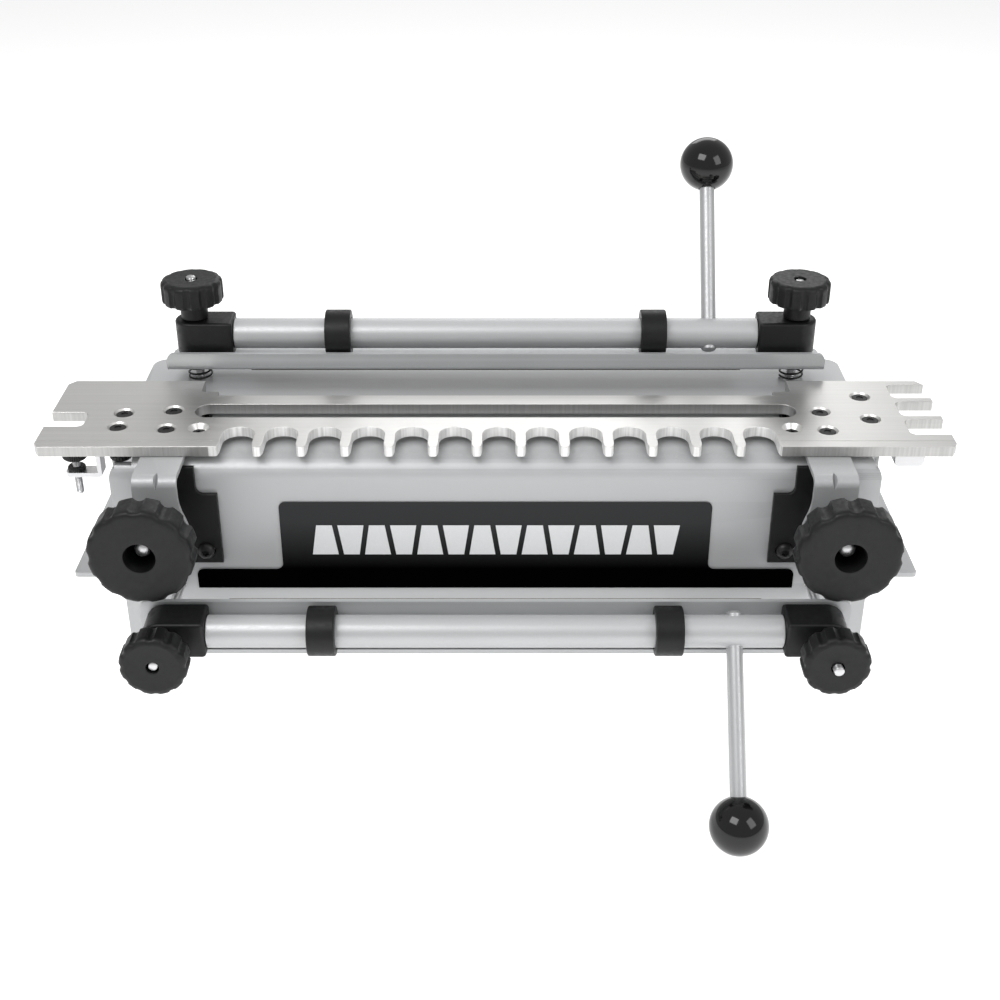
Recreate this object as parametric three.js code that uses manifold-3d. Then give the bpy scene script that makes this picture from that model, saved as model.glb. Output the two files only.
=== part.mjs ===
// Half-blind dovetail jig of the 12 inch class, in millimetres.
// X runs along the jig, Y away from the person using it, Z up.
// Y = 0 is the rear face of the apron, which bears on the front edge of the bench.
// Z = 0 is the bench top, which the two outward feet of the base stand on.
import * as THREE from 'three';
import { mergeVertices } from 'three/addons/utils/BufferGeometryUtils.js';
import Module from 'manifold-3d';

const wasm = await Module();
wasm.setup();

// ---------------------------------------------------------------- driving dimensions
const GAP = 0.3;                 // clearance between pieces that touch
const INCH = 25.4;

const BASE = { halfWidth: 225, top: 90, bottom: -40, back: 143, sheet: 3, bend: 12, corner: 10 };
const APRON_CORNER = { round: 12, back: 9 };
const GAUGE_RELIEF = { inner: -211.7, back: 20.5, low: 86 };
const FOOT = { reach: 260, front: 15, holeX: 244, holeYs: [45, 110], hole: 3.5 };
const TOP_HOLE = { x: 177, y: 57, radius: 3.6 };
const STOP = {
  footIn: 162.5, legIn: 174.5, outer: 209, low: 23.4, shoulder: 70, high: 88, round: 4, chamfer: 6, thick: 3,
};
const STOP_SCREW = { x: 172, z: 32, shank: 2, head: 5.2, socket: 2.2 };
const LABEL = {
  thick: 0.6, halfWidth: 127.5, low: 17.4, high: 63.6, stripHalf: 179.5, stripLow: 4.2, round: 4,
};

const TEMPLATE = { halfWidth: 10.5 * INCH, under: 93.5, thick: 6.35, front: -3.6, back: 87 };
const NOTCH = { count: 13, pitch: INCH, shift: 2, root: 22.5, halfRoot: 9.6, halfMouth: 10.55, flare: 5 };
const SLOT = { half: 181, front: 35.2, back: 53.2 };
const BAND = { back: 65.9, half: 171, step: 71, stepHalf: 182 };
const PIN_SEATS = [[-223, 41.3], [-223, 23.2], [-194, 45.2], [-194, 20.6],
  [223.5, 64], [223.5, 33.3], [195.3, 43.1], [195.3, 18]];
const PIN_SEAT = { radius: 5.1, rim: 6.3, depth: 1.4 };
const END_NOTCHES = [[-1, 244, 23, 42.2], [1, 243, 62.3, 81.1], [1, 243, 37.2, 56.9], [1, 243, 12.5, 32.1]];
const TEMPLATE_SCREW = { x: 175, y: 21.5, head: 3.7, sunk: 2.7 };

const BRACKET = { inner: 180, outer: 205, front: -30, rear: 34, sheet: 2.8, low: 30, bend: 6, rib: 191.5 };
const FLANGE = { inner: 166, outer: 208, front: 8 };
const BIG_STUD = { x: 196.5, z: 62, radius: 4.75, end: -56 };
const BIG_KNOB = { radius: 29.7, rim: 18, face: -65, hub: 13, bore: 8.9, boreDepth: 21, scallops: 12 };
const LIFT = 20;                 // how far the template rises in its slotted legs
const NUT = { radius: 14, thick: 8 };
const WASHER = { radius: 12, thick: 1.5 };

const CLAMP_X = { collar: 99.5, stud: 7.5 * INCH };
const REAR_AXIS = { y: 115.4, z: 120.1 };
const FRONT_AXIS = { y: -53, z: 6 };
// drop: tube axis to the back of the bar; proud: how far each stud stands past its knob's face.
const REAR_CLAMP = {
  axis: REAR_AXIS, quarterTurn: 0, lean: THREE.MathUtils.degToRad(34), lobe: -1, drop: 15.2, lipTop: -6.2,
  surfaceZ: BASE.top - REAR_AXIS.z, leverX: 135.5, proud: { left: 1.5, right: -1.2 }, springs: true,
};
const FRONT_CLAMP = {
  axis: FRONT_AXIS, quarterTurn: Math.PI / 2, lean: THREE.MathUtils.degToRad(-51.5), lobe: 1, drop: 13,
  lipTop: -4.8, surfaceZ: FRONT_AXIS.y + BASE.sheet, leverX: 137.7, proud: { left: -1.5, right: 3.5 },
  springs: false,
};
const TUBE = { radius: 9.525, bore: 6.2, journal: 7.95, shoulder: 165.7, end: 178 };
const COLLAR = { radius: 14.5, offset: 2.5, width: 16 };
const LEVER = { radius: 4.75, tail: 12, length: 110, ball: 17, socket: 13 };
const BLOCK = { inner: 166, stud: 191.5, half: 11.5, low: -12, high: 10.8, edge: 1.2 };
const BAR = { half: 207.3, sheet: 2.8, lip: 19, rear: 11.8, corner: 5, hole: 4.5 };
const GAUGE = { mountX: -219, screwX: -246, front: 3.5, back: 13, footTop: 79.1, lockNut: 2.4 };
const GRIP = { half: 155, front: -14.5, back: 11.5, thick: 0.9 };
const SMALL_KNOB = {
  radius: 19.2, rim: 14.6, hub: 8.5, hubLength: 11.3, bore: 3.6, boreDepth: 9, scallops: 12,
};
const SMALL_STUD = { radius: 3 };
const SPRING = {
  radius: 7.25, wire: 0.58, length: 11.5, turns: 3.25, closing: 0.5, ringSides: 6, stepsPerTurn: 8,
};

// ---------------------------------------------------------------- materials
function material(color, roughness, metalness) {
  return new THREE.MeshStandardMaterial({ color, roughness, metalness });
}
const PAINT = material(0xb4b7ba, 0.45, 0.3);
const ALUMINIUM = material(0xc9c7c2, 0.35, 0.9);
const STEEL = material(0xa9abac, 0.35, 0.8);
const SATIN_BAR = material(0x9ea2a4, 0.4, 0.7);
const PLASTIC = material(0x1d1e1f, 0.6, 0);
const GLOSS = material(0x050505, 0.08, 0);
const LABEL_INK = material(0x2b2c2e, 0.5, 0);
const BLACK_STEEL = material(0x222222, 0.4, 0.7);
const GRIT = material(0x4a4640, 0.95, 0);

// ---------------------------------------------------------------- solids
// A geometry becomes a closed solid: shared corners merged, slivers of no area dropped, faces out.
function solid(geometry) {
  const bare = geometry.clone();
  bare.deleteAttribute('normal');
  bare.deleteAttribute('uv');
  const merged = mergeVertices(bare, 1e-4);
  const at = merged.attributes.position;
  const corner = (i) => new THREE.Vector3().fromBufferAttribute(at, i);
  const faces = [];
  let volume = 0;
  for (let i = 0; i < merged.index.count; i += 3) {
    const [a, b, c] = [0, 1, 2].map((k) => merged.index.getX(i + k));
    if (a === b || b === c || c === a) continue;
    faces.push([a, b, c]);
    volume += corner(a).dot(corner(b).cross(corner(c)));
  }
  const triVerts = new Uint32Array(faces.flatMap(([a, b, c]) => (volume < 0 ? [a, c, b] : [a, b, c])));
  const vertProperties = new Float32Array(at.array);
  return new wasm.Manifold(new wasm.Mesh({ numProp: 3, vertProperties, triVerts }));
}

function surface(body) {
  const mesh = body.getMesh();
  const geometry = new THREE.BufferGeometry();
  geometry.setAttribute('position', new THREE.BufferAttribute(new Float32Array(mesh.vertProperties), 3));
  geometry.setIndex(new THREE.BufferAttribute(new Uint32Array(mesh.triVerts), 1));
  geometry.computeVertexNormals();
  return geometry;
}

const cut = (body, ...tools) => tools.reduce((rest, tool) => rest.subtract(tool), body);
const join = (body, ...others) => others.reduce((whole, other) => whole.add(other), body);

function box(x0, x1, y0, y1, z0, z1) {
  const geometry = new THREE.BoxGeometry(x1 - x0, y1 - y0, z1 - z0);
  return solid(geometry.translate((x0 + x1) / 2, (y0 + y1) / 2, (z0 + z1) / 2));
}

// Turns a geometry made along its own +Z so that it runs along the axis named.
function along(geometry, axis) {
  if (axis === 'x') return geometry.rotateY(Math.PI / 2);
  if (axis === 'y') return geometry.rotateX(-Math.PI / 2);
  return geometry;
}

// A turned piece about Z: profile is a list of [radius, z] that starts and ends on the axis or closes.
function turned(profile, segments, axis, x, y, z) {
  const geometry = new THREE.LatheGeometry(profile.map(([r, h]) => new THREE.Vector2(r, h)), segments);
  return solid(along(geometry.rotateX(Math.PI / 2), axis).translate(x, y, z));
}

// A plain round rod or drill from one height to another along an axis.
function rod(radius, from, to, axis, x, y, z, segments = 16) {
  return turned([[0, from], [radius, from], [radius, to], [0, to]], segments, axis, x, y, z);
}

// A flat plate: the outline is drawn in XY and raised from low to high.
function plate(outline, low, high, bevel = 0, curveSegments = 3) {
  const options = {
    depth: high - low - 2 * bevel, bevelEnabled: bevel > 0, bevelThickness: bevel, bevelSize: bevel,
    bevelOffset: -bevel, bevelSegments: 1, curveSegments,
  };
  return new THREE.ExtrudeGeometry(outline, options).translate(0, 0, low + bevel);
}

// A folded section: the outline is drawn in (Y, Z) and run along X.
function section(outline, x0, x1, curveSegments = 3) {
  const geometry = new THREE.ExtrudeGeometry(outline, { depth: x1 - x0, bevelEnabled: false, curveSegments });
  const turn = new THREE.Matrix4().makeBasis(
    new THREE.Vector3(0, 1, 0), new THREE.Vector3(0, 0, 1), new THREE.Vector3(1, 0, 0));
  return solid(geometry.applyMatrix4(turn).translate(x0, 0, 0));
}

function roundedBox(x0, x1, y0, y1, radius) {
  const shape = new THREE.Shape();
  shape.moveTo(x0 + radius, y0);
  shape.lineTo(x1 - radius, y0);
  shape.absarc(x1 - radius, y0 + radius, radius, -Math.PI / 2, 0);
  shape.lineTo(x1, y1 - radius);
  shape.absarc(x1 - radius, y1 - radius, radius, 0, Math.PI / 2);
  shape.lineTo(x0 + radius, y1);
  shape.absarc(x0 + radius, y1 - radius, radius, Math.PI / 2, Math.PI);
  shape.lineTo(x0, y0 + radius);
  shape.absarc(x0 + radius, y0 + radius, radius, Math.PI, Math.PI * 1.5);
  return shape;
}

const jig = new THREE.Group();

function add(group, name, body, look) {
  const mesh = new THREE.Mesh(surface(body), look);
  mesh.name = name;
  group.add(mesh);
  return mesh;
}

const SIDES = [['left', -1], ['right', 1]];

// ---------------------------------------------------------------- base
// Outer face of the folded sheet, from the foot of the apron over the bend to the back edge.
function foldedSheet() {
  const { top, bottom, back, sheet, bend } = BASE;
  const shape = new THREE.Shape();
  shape.moveTo(-sheet, bottom);
  shape.lineTo(0, bottom);
  shape.lineTo(0, top - bend);
  shape.absarc(bend - sheet, top - bend, bend - sheet, Math.PI, Math.PI / 2, true);
  shape.lineTo(back, top - sheet);
  shape.lineTo(back, top);
  shape.lineTo(bend - sheet, top);
  shape.absarc(bend - sheet, top - bend, bend, Math.PI / 2, Math.PI);
  return section(shape, -BASE.halfWidth, BASE.halfWidth, 4);
}

// What is cut away to round an upper corner of the apron, as seen from the front.
function apronCorner(side) {
  const { round, back } = APRON_CORNER;
  const centreX = side * (BASE.halfWidth - round);
  const centreZ = BASE.top - round;
  const outer = side * (BASE.halfWidth + 1);
  return cut(
    box(Math.min(centreX, outer), Math.max(centreX, outer), -BASE.sheet - 1, back, centreZ, BASE.top + 1),
    rod(round, -BASE.sheet - 2, back + 1, 'y', centreX, 0, centreZ, 40),
  );
}

function buildBase() {
  const { halfWidth, top, back, sheet, corner } = BASE;
  const plan = roundedBox(-FOOT.reach, FOOT.reach, -sheet - corner, back, corner);
  let body = foldedSheet();
  const topPlan = roundedBox(-halfWidth, halfWidth, -sheet - 2 * corner, back, corner);
  body = body.intersect(solid(plate(topPlan, BASE.bottom - 1, top + 1)));
  for (const [, side] of SIDES) {
    const wallIn = side * (halfWidth - sheet);
    const wallOut = side * halfWidth;
    body = join(
      body,
      box(Math.min(wallIn, wallOut), Math.max(wallIn, wallOut), -sheet / 2, back - corner, 0, top - sheet / 2),
    );
    const reach = [wallIn, side * FOOT.reach].sort((a, b) => a - b);
    const foot = box(...reach, FOOT.front, back - corner, 0, sheet);
    body = join(body, foot.intersect(solid(plate(plan, 0, sheet))));
    for (const y of FOOT.holeYs) {
      body = cut(body, rod(FOOT.hole, -1, sheet + 1, 'z', side * FOOT.holeX, y, 0, 12));
    }
    body = cut(
      body,
      apronCorner(side),
      rod(TOP_HOLE.radius, -20, 20, 'z', side * TOP_HOLE.x, TOP_HOLE.y, top, 16),
      rod(SMALL_STUD.radius + GAP, -20, 20, 'z', side * CLAMP_X.stud, REAR_AXIS.y, top, 12),
      rod(SMALL_STUD.radius + GAP, -20, 20, 'y', side * CLAMP_X.stud, 0, FRONT_AXIS.z, 12),
      rod(BIG_STUD.radius + GAP, -20, 20, 'y', side * BIG_STUD.x, 0, BIG_STUD.z, 16),
      rod(STOP_SCREW.shank + GAP, -10, 10, 'y', side * STOP_SCREW.x, 0, STOP_SCREW.z, 12),
    );
  }
  // The corner is relieved where the nut of the depth gauge hangs below the template.
  const { inner, back: reliefBack, low } = GAUGE_RELIEF;
  body = cut(body, box(-halfWidth - 1, inner, -sheet - 1, reliefBack, low, top + 1));
  add(jig, 'base', body, PAINT);
}

function buildLabel() {
  const { thick, halfWidth, low, high, stripHalf, stripLow, round } = LABEL;
  const shape = new THREE.Shape();
  shape.moveTo(-stripHalf, stripLow);
  shape.lineTo(stripHalf, stripLow);
  shape.lineTo(stripHalf, low - round);
  shape.absarc(stripHalf - round, low - round, round, 0, Math.PI / 2);
  shape.lineTo(halfWidth + round, low);
  shape.absarc(halfWidth + round, low + round, round, -Math.PI / 2, Math.PI, true);
  shape.lineTo(halfWidth, high - round);
  shape.absarc(halfWidth - round, high - round, round, 0, Math.PI / 2);
  shape.lineTo(-halfWidth + round, high);
  shape.absarc(-halfWidth + round, high - round, round, Math.PI / 2, Math.PI);
  shape.lineTo(-halfWidth, low + round);
  shape.absarc(-halfWidth - round, low + round, round, 0, -Math.PI / 2, true);
  shape.lineTo(-stripHalf + round, low);
  shape.absarc(-stripHalf + round, low - round, round, Math.PI / 2, Math.PI);
  const body = plate(shape, 0, thick).rotateX(Math.PI / 2);
  add(jig, 'front_label', solid(body.translate(0, -BASE.sheet - GAP, 0)), LABEL_INK);
}

// ---------------------------------------------------------------- side stops
// An L-shaped moulding: a wide foot with the screw slot, and a leg that rises past the large stud.
function buildStop(name, side) {
  const { footIn, legIn, outer, low, shoulder, high, round, chamfer, thick } = STOP;
  const shape = new THREE.Shape();
  shape.moveTo(side * footIn, low);
  shape.lineTo(side * outer, low);
  shape.lineTo(side * outer, high - chamfer);
  shape.lineTo(side * (outer - chamfer), high);
  shape.lineTo(side * legIn, high);
  shape.lineTo(side * legIn, shoulder + round);
  if (side > 0) shape.absarc(legIn - round, shoulder + round, round, 0, -Math.PI / 2, true);
  else shape.absarc(-legIn + round, shoulder + round, round, Math.PI, Math.PI * 1.5);
  shape.lineTo(side * footIn, shoulder);
  const sheet = plate(shape, 0, thick, 0.4).rotateX(Math.PI / 2).translate(0, -BASE.sheet - GAP, 0);
  const slot = (x, z, half, radius) => {
    const outline = roundedBox(x - half, x + half, z - radius, z + radius, radius - 0.01);
    return solid(plate(outline, 0, 20).rotateX(Math.PI / 2).translate(0, 5, 0));
  };
  const body = cut(
    solid(sheet),
    slot(side * STOP_SCREW.x, STOP_SCREW.z, 5.6, STOP_SCREW.shank + GAP),
    slot(side * BIG_STUD.x, BIG_STUD.z, 9, 5.8),
  );
  add(jig, `${name}_stop`, body, PLASTIC);

  const { x, z, shank, head, socket } = STOP_SCREW;
  const seat = thick + GAP * 2;
  const screw = turned(
    [[0, -thick], [shank, -thick], [shank, seat], [head, seat], [head - 0.5, seat + 2], [head - 2.2, seat + 3],
      [socket, seat + 3], [socket, seat + 1.2], [0, seat + 1.2]],
    20, 'y', 0, 0, 0);
  const mesh = add(jig, `${name}_stop_screw`, screw, BLACK_STEEL);
  mesh.rotation.z = Math.PI;
  mesh.position.set(side * x, -BASE.sheet, z);
}

// ---------------------------------------------------------------- finger template
// One notch of the outline: from a finger tip down its side, round the root and back up.
function notchPath(shape, x) {
  const { root, halfRoot, halfMouth, flare } = NOTCH;
  const straight = root - halfRoot;
  shape.lineTo(x - halfMouth, TEMPLATE.front);
  shape.lineTo(x - halfRoot, TEMPLATE.front + flare);
  shape.lineTo(x - halfRoot, straight);
  shape.absarc(x, straight, halfRoot, Math.PI, 0, true);
  shape.lineTo(x + halfRoot, TEMPLATE.front + flare);
  shape.lineTo(x + halfMouth, TEMPLATE.front);
}

function endNotch(side, depthX, y0, y1) {
  const reach = TEMPLATE.halfWidth + 5;
  const outline = roundedBox(
    Math.min(side * depthX, side * reach), Math.max(side * depthX, side * reach), y0, y1, 4);
  return solid(plate(outline, TEMPLATE.under - 1, TEMPLATE.under + TEMPLATE.thick + 1));
}

function buildTemplate() {
  const { halfWidth, under, thick, front, back } = TEMPLATE;
  const top = under + thick;
  const corner = 5;
  const shape = new THREE.Shape();
  shape.moveTo(-halfWidth, front + corner);
  shape.lineTo(-halfWidth + corner * 0.6, front);
  for (let i = 0; i < NOTCH.count; i += 1) {
    notchPath(shape, (i - (NOTCH.count - 1) / 2) * NOTCH.pitch + NOTCH.shift);
  }
  shape.lineTo(halfWidth - corner * 0.6, front);
  shape.lineTo(halfWidth, front + corner);
  shape.lineTo(halfWidth, back - corner);
  shape.lineTo(halfWidth - corner, back);
  shape.lineTo(BAND.stepHalf, back);
  shape.lineTo(BAND.stepHalf, BAND.step);
  shape.lineTo(BAND.half, BAND.step - 1);
  shape.lineTo(BAND.half, BAND.back);
  shape.lineTo(-BAND.half, BAND.back);
  shape.lineTo(-BAND.half, BAND.step - 1);
  shape.lineTo(-BAND.stepHalf, BAND.step);
  shape.lineTo(-BAND.stepHalf, back);
  shape.lineTo(-halfWidth + corner, back);
  shape.lineTo(-halfWidth, back - corner);
  const slotRound = (SLOT.back - SLOT.front) / 2 - 0.01;
  const slot = roundedBox(-SLOT.half, SLOT.half, SLOT.front, SLOT.back, slotRound);
  let body = solid(plate(shape, under, top, 0, 4));
  body = cut(body, solid(plate(slot, under - 1, top + 1)));

  const { radius, rim, depth } = PIN_SEAT;
  const seat = [[0, -depth], [radius, -depth], [rim, 0], [rim, 1], [0, 1]];
  for (const [x, y] of PIN_SEATS) {
    body = cut(body, turned(seat, 16, 'z', x, y, top));
  }
  const countersink = [[0, -1], [2.4, -1], [2.4, 1.2], [6.3, thick], [6.3, thick + 1], [0, thick + 1]];
  for (const [, side] of SIDES) {
    body = cut(body, turned(countersink, 14, 'z', side * TEMPLATE_SCREW.x, TEMPLATE_SCREW.y, under));
  }
  for (const [side, depthX, y0, y1] of END_NOTCHES) {
    body = cut(body, endNotch(side, depthX, y0, y1));
  }
  add(jig, 'finger_template', body, ALUMINIUM);

  const { head, sunk } = TEMPLATE_SCREW;
  for (const [name, side] of SIDES) {
    const screw = turned(
      [[0, -2.9], [2.1, -2.9], [2.1, 1.6], [head, thick - sunk], [1.5, thick - sunk], [1.5, thick - sunk - 1.1],
        [0, thick - sunk - 1.1]],
      14, 'z', side * TEMPLATE_SCREW.x, TEMPLATE_SCREW.y, under);
    add(jig, `${name}_template_screw`, screw, STEEL);
  }
}

// ---------------------------------------------------------------- template brackets
// A folded strip: a flange under the template, a bend, and a slotted leg behind the large knob.
function buildBracket(name, side) {
  const { inner, outer, front, rear, sheet, low, bend } = BRACKET;
  const high = TEMPLATE.under - GAP;
  const shape = new THREE.Shape();
  shape.moveTo(rear, high - sheet);
  shape.lineTo(front + bend, high - sheet);
  shape.absarc(front + bend, high - bend, bend - sheet, Math.PI / 2, Math.PI);
  shape.lineTo(front + sheet, low);
  shape.lineTo(front, low);
  shape.lineTo(front, high - bend);
  shape.absarc(front + bend, high - bend, bend, Math.PI, Math.PI / 2, true);
  shape.lineTo(rear, high);
  const span = [side * (FLANGE.inner - 6), side * (FLANGE.outer + 4)].sort((a, b) => a - b);
  const folded = section(shape, ...span);

  const leg = new THREE.Shape();
  leg.moveTo(side * inner, high + 1);
  leg.lineTo(side * outer, high + 1);
  leg.lineTo(side * (outer + 1.5), low - 1);
  leg.lineTo(side * (inner - 5), low - 1);
  leg.lineTo(side * (inner - 5), 58);
  leg.lineTo(side * (inner - 2.5), 68);
  leg.lineTo(side * inner, 78);
  const depth = FLANGE.front - front + 2;
  const legZone = solid(plate(leg, 0, depth).rotateX(Math.PI / 2).translate(0, FLANGE.front + 1, 0));
  const across = [side * FLANGE.inner, side * FLANGE.outer].sort((a, b) => a - b);
  const flangeZone = box(...across, FLANGE.front, rear + 1, high - 2 * bend, high + 1);

  const ribX = side * BRACKET.rib;
  const rib = new THREE.Shape();
  rib.moveTo(front + sheet - 0.5, high - 15);
  rib.lineTo(front + sheet + 9, high - sheet + 0.5);
  rib.lineTo(front + sheet - 0.5, high - sheet + 0.5);
  const gusset = section(rib, ribX - 1.5, ribX + 1.5);
  const slotHalf = BIG_STUD.radius + GAP + 0.2;
  const slot = roundedBox(
    side * BIG_STUD.x - slotHalf, side * BIG_STUD.x + slotHalf,
    BIG_STUD.z - LIFT - slotHalf - 0.4, BIG_STUD.z + slotHalf + 0.4, slotHalf - 0.01);
  const body = cut(
    join(folded.intersect(join(legZone, flangeZone)), gusset),
    solid(plate(slot, 0, 60).rotateX(Math.PI / 2)),
    rod(2.4, high - 10, high + 10, 'z', side * TEMPLATE_SCREW.x, TEMPLATE_SCREW.y, 0, 16),
  );
  add(jig, `${name}_bracket`, body, PAINT);
}

// Scalloped grip outline: the radius dips once for each scallop.
function scalloped(radius, count, dip) {
  const perScallop = 4;
  const points = [];
  for (let i = 0; i < count * perScallop; i += 1) {
    const angle = (i / (count * perScallop)) * Math.PI * 2;
    const wave = Math.max(0, Math.cos(angle * count));
    const r = radius - dip * wave;
    points.push(new THREE.Vector2(r * Math.cos(angle), r * Math.sin(angle)));
  }
  return new THREE.Shape(points);
}

// A knob about Z with its hub starting at 0 and its rim above it, bored for its stud.
function knob({ radius, rim, hub, hubLength, bore, boreDepth, scallops }, studRadius) {
  const top = hubLength + rim;
  return cut(
    join(
      solid(plate(scalloped(radius, scallops, radius * 0.05), hubLength, top, 1.6)),
      rod(hub, 0, hubLength + 1, 'z', 0, 0, 0, 18),
    ),
    rod(studRadius + GAP, -1, top + 1, 'z', 0, 0, 0, 12),
    rod(bore, top - boreDepth, top + 1, 'z', 0, 0, 0, 16),
  );
}

function buildBigKnob(name, side) {
  const { x, z, radius, end } = BIG_STUD;
  const legFront = BRACKET.front;
  const stud = add(jig, `${name}_large_stud`, turned(
    [[0, 0.2], [radius, 0.2], [radius, -end - 1.2], [radius - 1.2, -end], [0, -end]], 16, 'z', 0, 0, 0), STEEL);
  stud.rotation.x = Math.PI / 2;
  stud.position.set(side * x, 0, z);

  const nutFront = legFront + BRACKET.sheet + GAP;
  const nut = cut(
    rod(NUT.radius, nutFront, nutFront + NUT.thick, 'y', side * x, 0, z, 20),
    rod(radius + GAP, nutFront - 1, nutFront + NUT.thick + 1, 'y', side * x, 0, z, 16),
  );
  add(jig, `${name}_positioning_nut`, nut, PLASTIC);

  const washerRear = legFront - GAP;
  const washer = cut(
    rod(WASHER.radius, washerRear - WASHER.thick, washerRear, 'y', side * x, 0, z, 20),
    rod(radius + GAP, washerRear - WASHER.thick - 1, washerRear + 1, 'y', side * x, 0, z, 16),
  );
  add(jig, `${name}_knob_washer`, washer, STEEL);

  const hubRear = washerRear - WASHER.thick - GAP;
  const hubLength = hubRear - (BIG_KNOB.face + BIG_KNOB.rim);
  const mesh = add(jig, `${name}_large_knob`, knob({ ...BIG_KNOB, hubLength }, radius), PLASTIC);
  mesh.rotation.x = Math.PI / 2;
  mesh.position.set(side * x, hubRear, z);
}

// ---------------------------------------------------------------- depth gauge and end tab
function buildGauge() {
  const { mountX, screwX, front, back, footTop, lockNut } = GAUGE;
  const [sheet, legOut, legIn, footEnd, flangeEnd] = [2.8, -233, -230.2, -252, -212];
  const high = TEMPLATE.under - GAP;
  const flangeLow = high - sheet;
  const middle = (front + back) / 2;
  const strip = join(
    box(legOut, flangeEnd, front, back, flangeLow, high),
    box(legOut, legIn, front, back, footTop - sheet, high),
    box(footEnd, legIn, front, back, footTop - sheet, footTop),
  );
  add(jig, 'gauge_bracket', cut(
    strip,
    rod(2.55, footTop - 10, footTop + 5, 'z', screwX, middle, 0, 16),
    rod(2.3, high - 10, high + 5, 'z', mountX, middle, 0, 16),
  ), STEEL);

  add(jig, 'gauge_mount_screw', rod(2, flangeLow - 4, high - 0.1, 'z', mountX, middle, 0, 16), STEEL);
  add(jig, 'gauge_mount_nut', turned(
    [[2.3, flangeLow - 3.3], [6, flangeLow - 3.3], [6.6, flangeLow - 2.4], [6.6, flangeLow - 0.3],
      [2.3, flangeLow - 0.3], [2.3, flangeLow - 3.3]], 14, 'z', mountX, middle, 0), PLASTIC);

  const tail = footTop - sheet - 12.5;
  const headLow = high - 6;
  add(jig, 'gauge_screw', turned(
    [[0, tail], [1.6, tail], [2.25, tail + 0.8], [2.25, headLow], [6.4, headLow], [7.3, headLow + 1.4],
      [7.3, high - 1.5], [6.4, high - 0.6], [0, high - 0.6]], 14, 'z', screwX, middle, 0), PLASTIC);
  add(jig, 'gauge_lock_nut', turned(
    [[2.55, 0], [4.9, 0], [5.3, 0.5], [5.3, lockNut - 0.5], [4.9, lockNut], [2.55, lockNut], [2.55, 0]],
    14, 'z', screwX, middle, footTop + GAP), PLASTIC);

  const tab = roundedBox(231, 248.5, high - 6.8, high + 4, 3.4);
  const tabBody = solid(plate(tab, 0, 9).rotateX(Math.PI / 2).translate(0, 7, 0));
  add(jig, 'end_tab', tabBody.intersect(box(230, 250, -10, 10, high - 10, high)), STEEL);
}

// ---------------------------------------------------------------- clamps
// A clamp is drawn about its own tube axis: X along the tube, +Z away from the work, -Y the lip side.
// The wire of a spring, whose turns close up towards both ends.
class Helix extends THREE.Curve {
  constructor(low, high) {
    super();
    Object.assign(this, { low, high });
  }

  getPoint(t, target = new THREE.Vector3()) {
    const { radius, turns, closing } = SPRING;
    const angle = t * turns * Math.PI * 2;
    const rise = t - (closing * Math.sin(t * Math.PI * 2)) / (Math.PI * 2);
    const z = this.low + rise * (this.high - this.low);
    return target.set(radius * Math.cos(angle), radius * Math.sin(angle), z);
  }
}

function spring(high) {
  const { wire, length, turns, ringSides, stepsPerTurn } = SPRING;
  const ring = new THREE.Shape();
  ring.absarc(0, 0, wire, 0, Math.PI * 2);
  const extrudePath = new Helix(high - length + wire, high - wire);
  const steps = turns * stepsPerTurn;
  const options = { steps, curveSegments: ringSides / 2, bevelEnabled: false, extrudePath };
  return solid(new THREE.ExtrudeGeometry(ring, options));
}

function clampBlock(side) {
  const { inner, stud, half, low, high, edge } = BLOCK;
  const outline = new THREE.Shape();
  outline.moveTo(side * inner, -half);
  outline.lineTo(side * stud, -half);
  if (side > 0) outline.absarc(stud, 0, half, -Math.PI / 2, Math.PI / 2);
  else outline.absarc(-stud, 0, half, Math.PI * 1.5, Math.PI / 2, true);
  outline.lineTo(side * inner, half);
  const ends = [side * (inner - 1), side * (TUBE.end + GAP)];
  return cut(
    solid(plate(outline, low, high, edge, 5)),
    rod(TUBE.journal + GAP, Math.min(...ends), Math.max(...ends), 'x', 0, 0, 0, 16),
    rod(SMALL_STUD.radius + GAP, low - 1, high + 1, 'z', side * CLAMP_X.stud, 0, 0, 12),
  );
}

function clampTube(leverX) {
  const { radius, bore, journal, shoulder, end } = TUBE;
  return cut(
    turned(
      [[bore, -end], [journal, -end], [journal, -shoulder], [radius, -shoulder], [radius, shoulder],
        [journal, shoulder], [journal, end], [bore, end], [bore, -end]],
      20, 'x', 0, 0, 0),
    rod(LEVER.radius + GAP, -20, 20, 'z', leverX, 0, 0, 16),
  );
}

function collar(x, lobe) {
  const { radius, offset, width } = COLLAR;
  const [from, to] = [-width / 2, width / 2];
  return cut(
    turned(
      [[0, from], [radius - 0.8, from], [radius, from + 0.8], [radius, to - 0.8], [radius - 0.8, to], [0, to]],
      20, 'x', x, lobe * offset, 0),
    rod(TUBE.radius + GAP, from - 1, to + 1, 'x', x, 0, 0, 20),
  );
}

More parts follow.
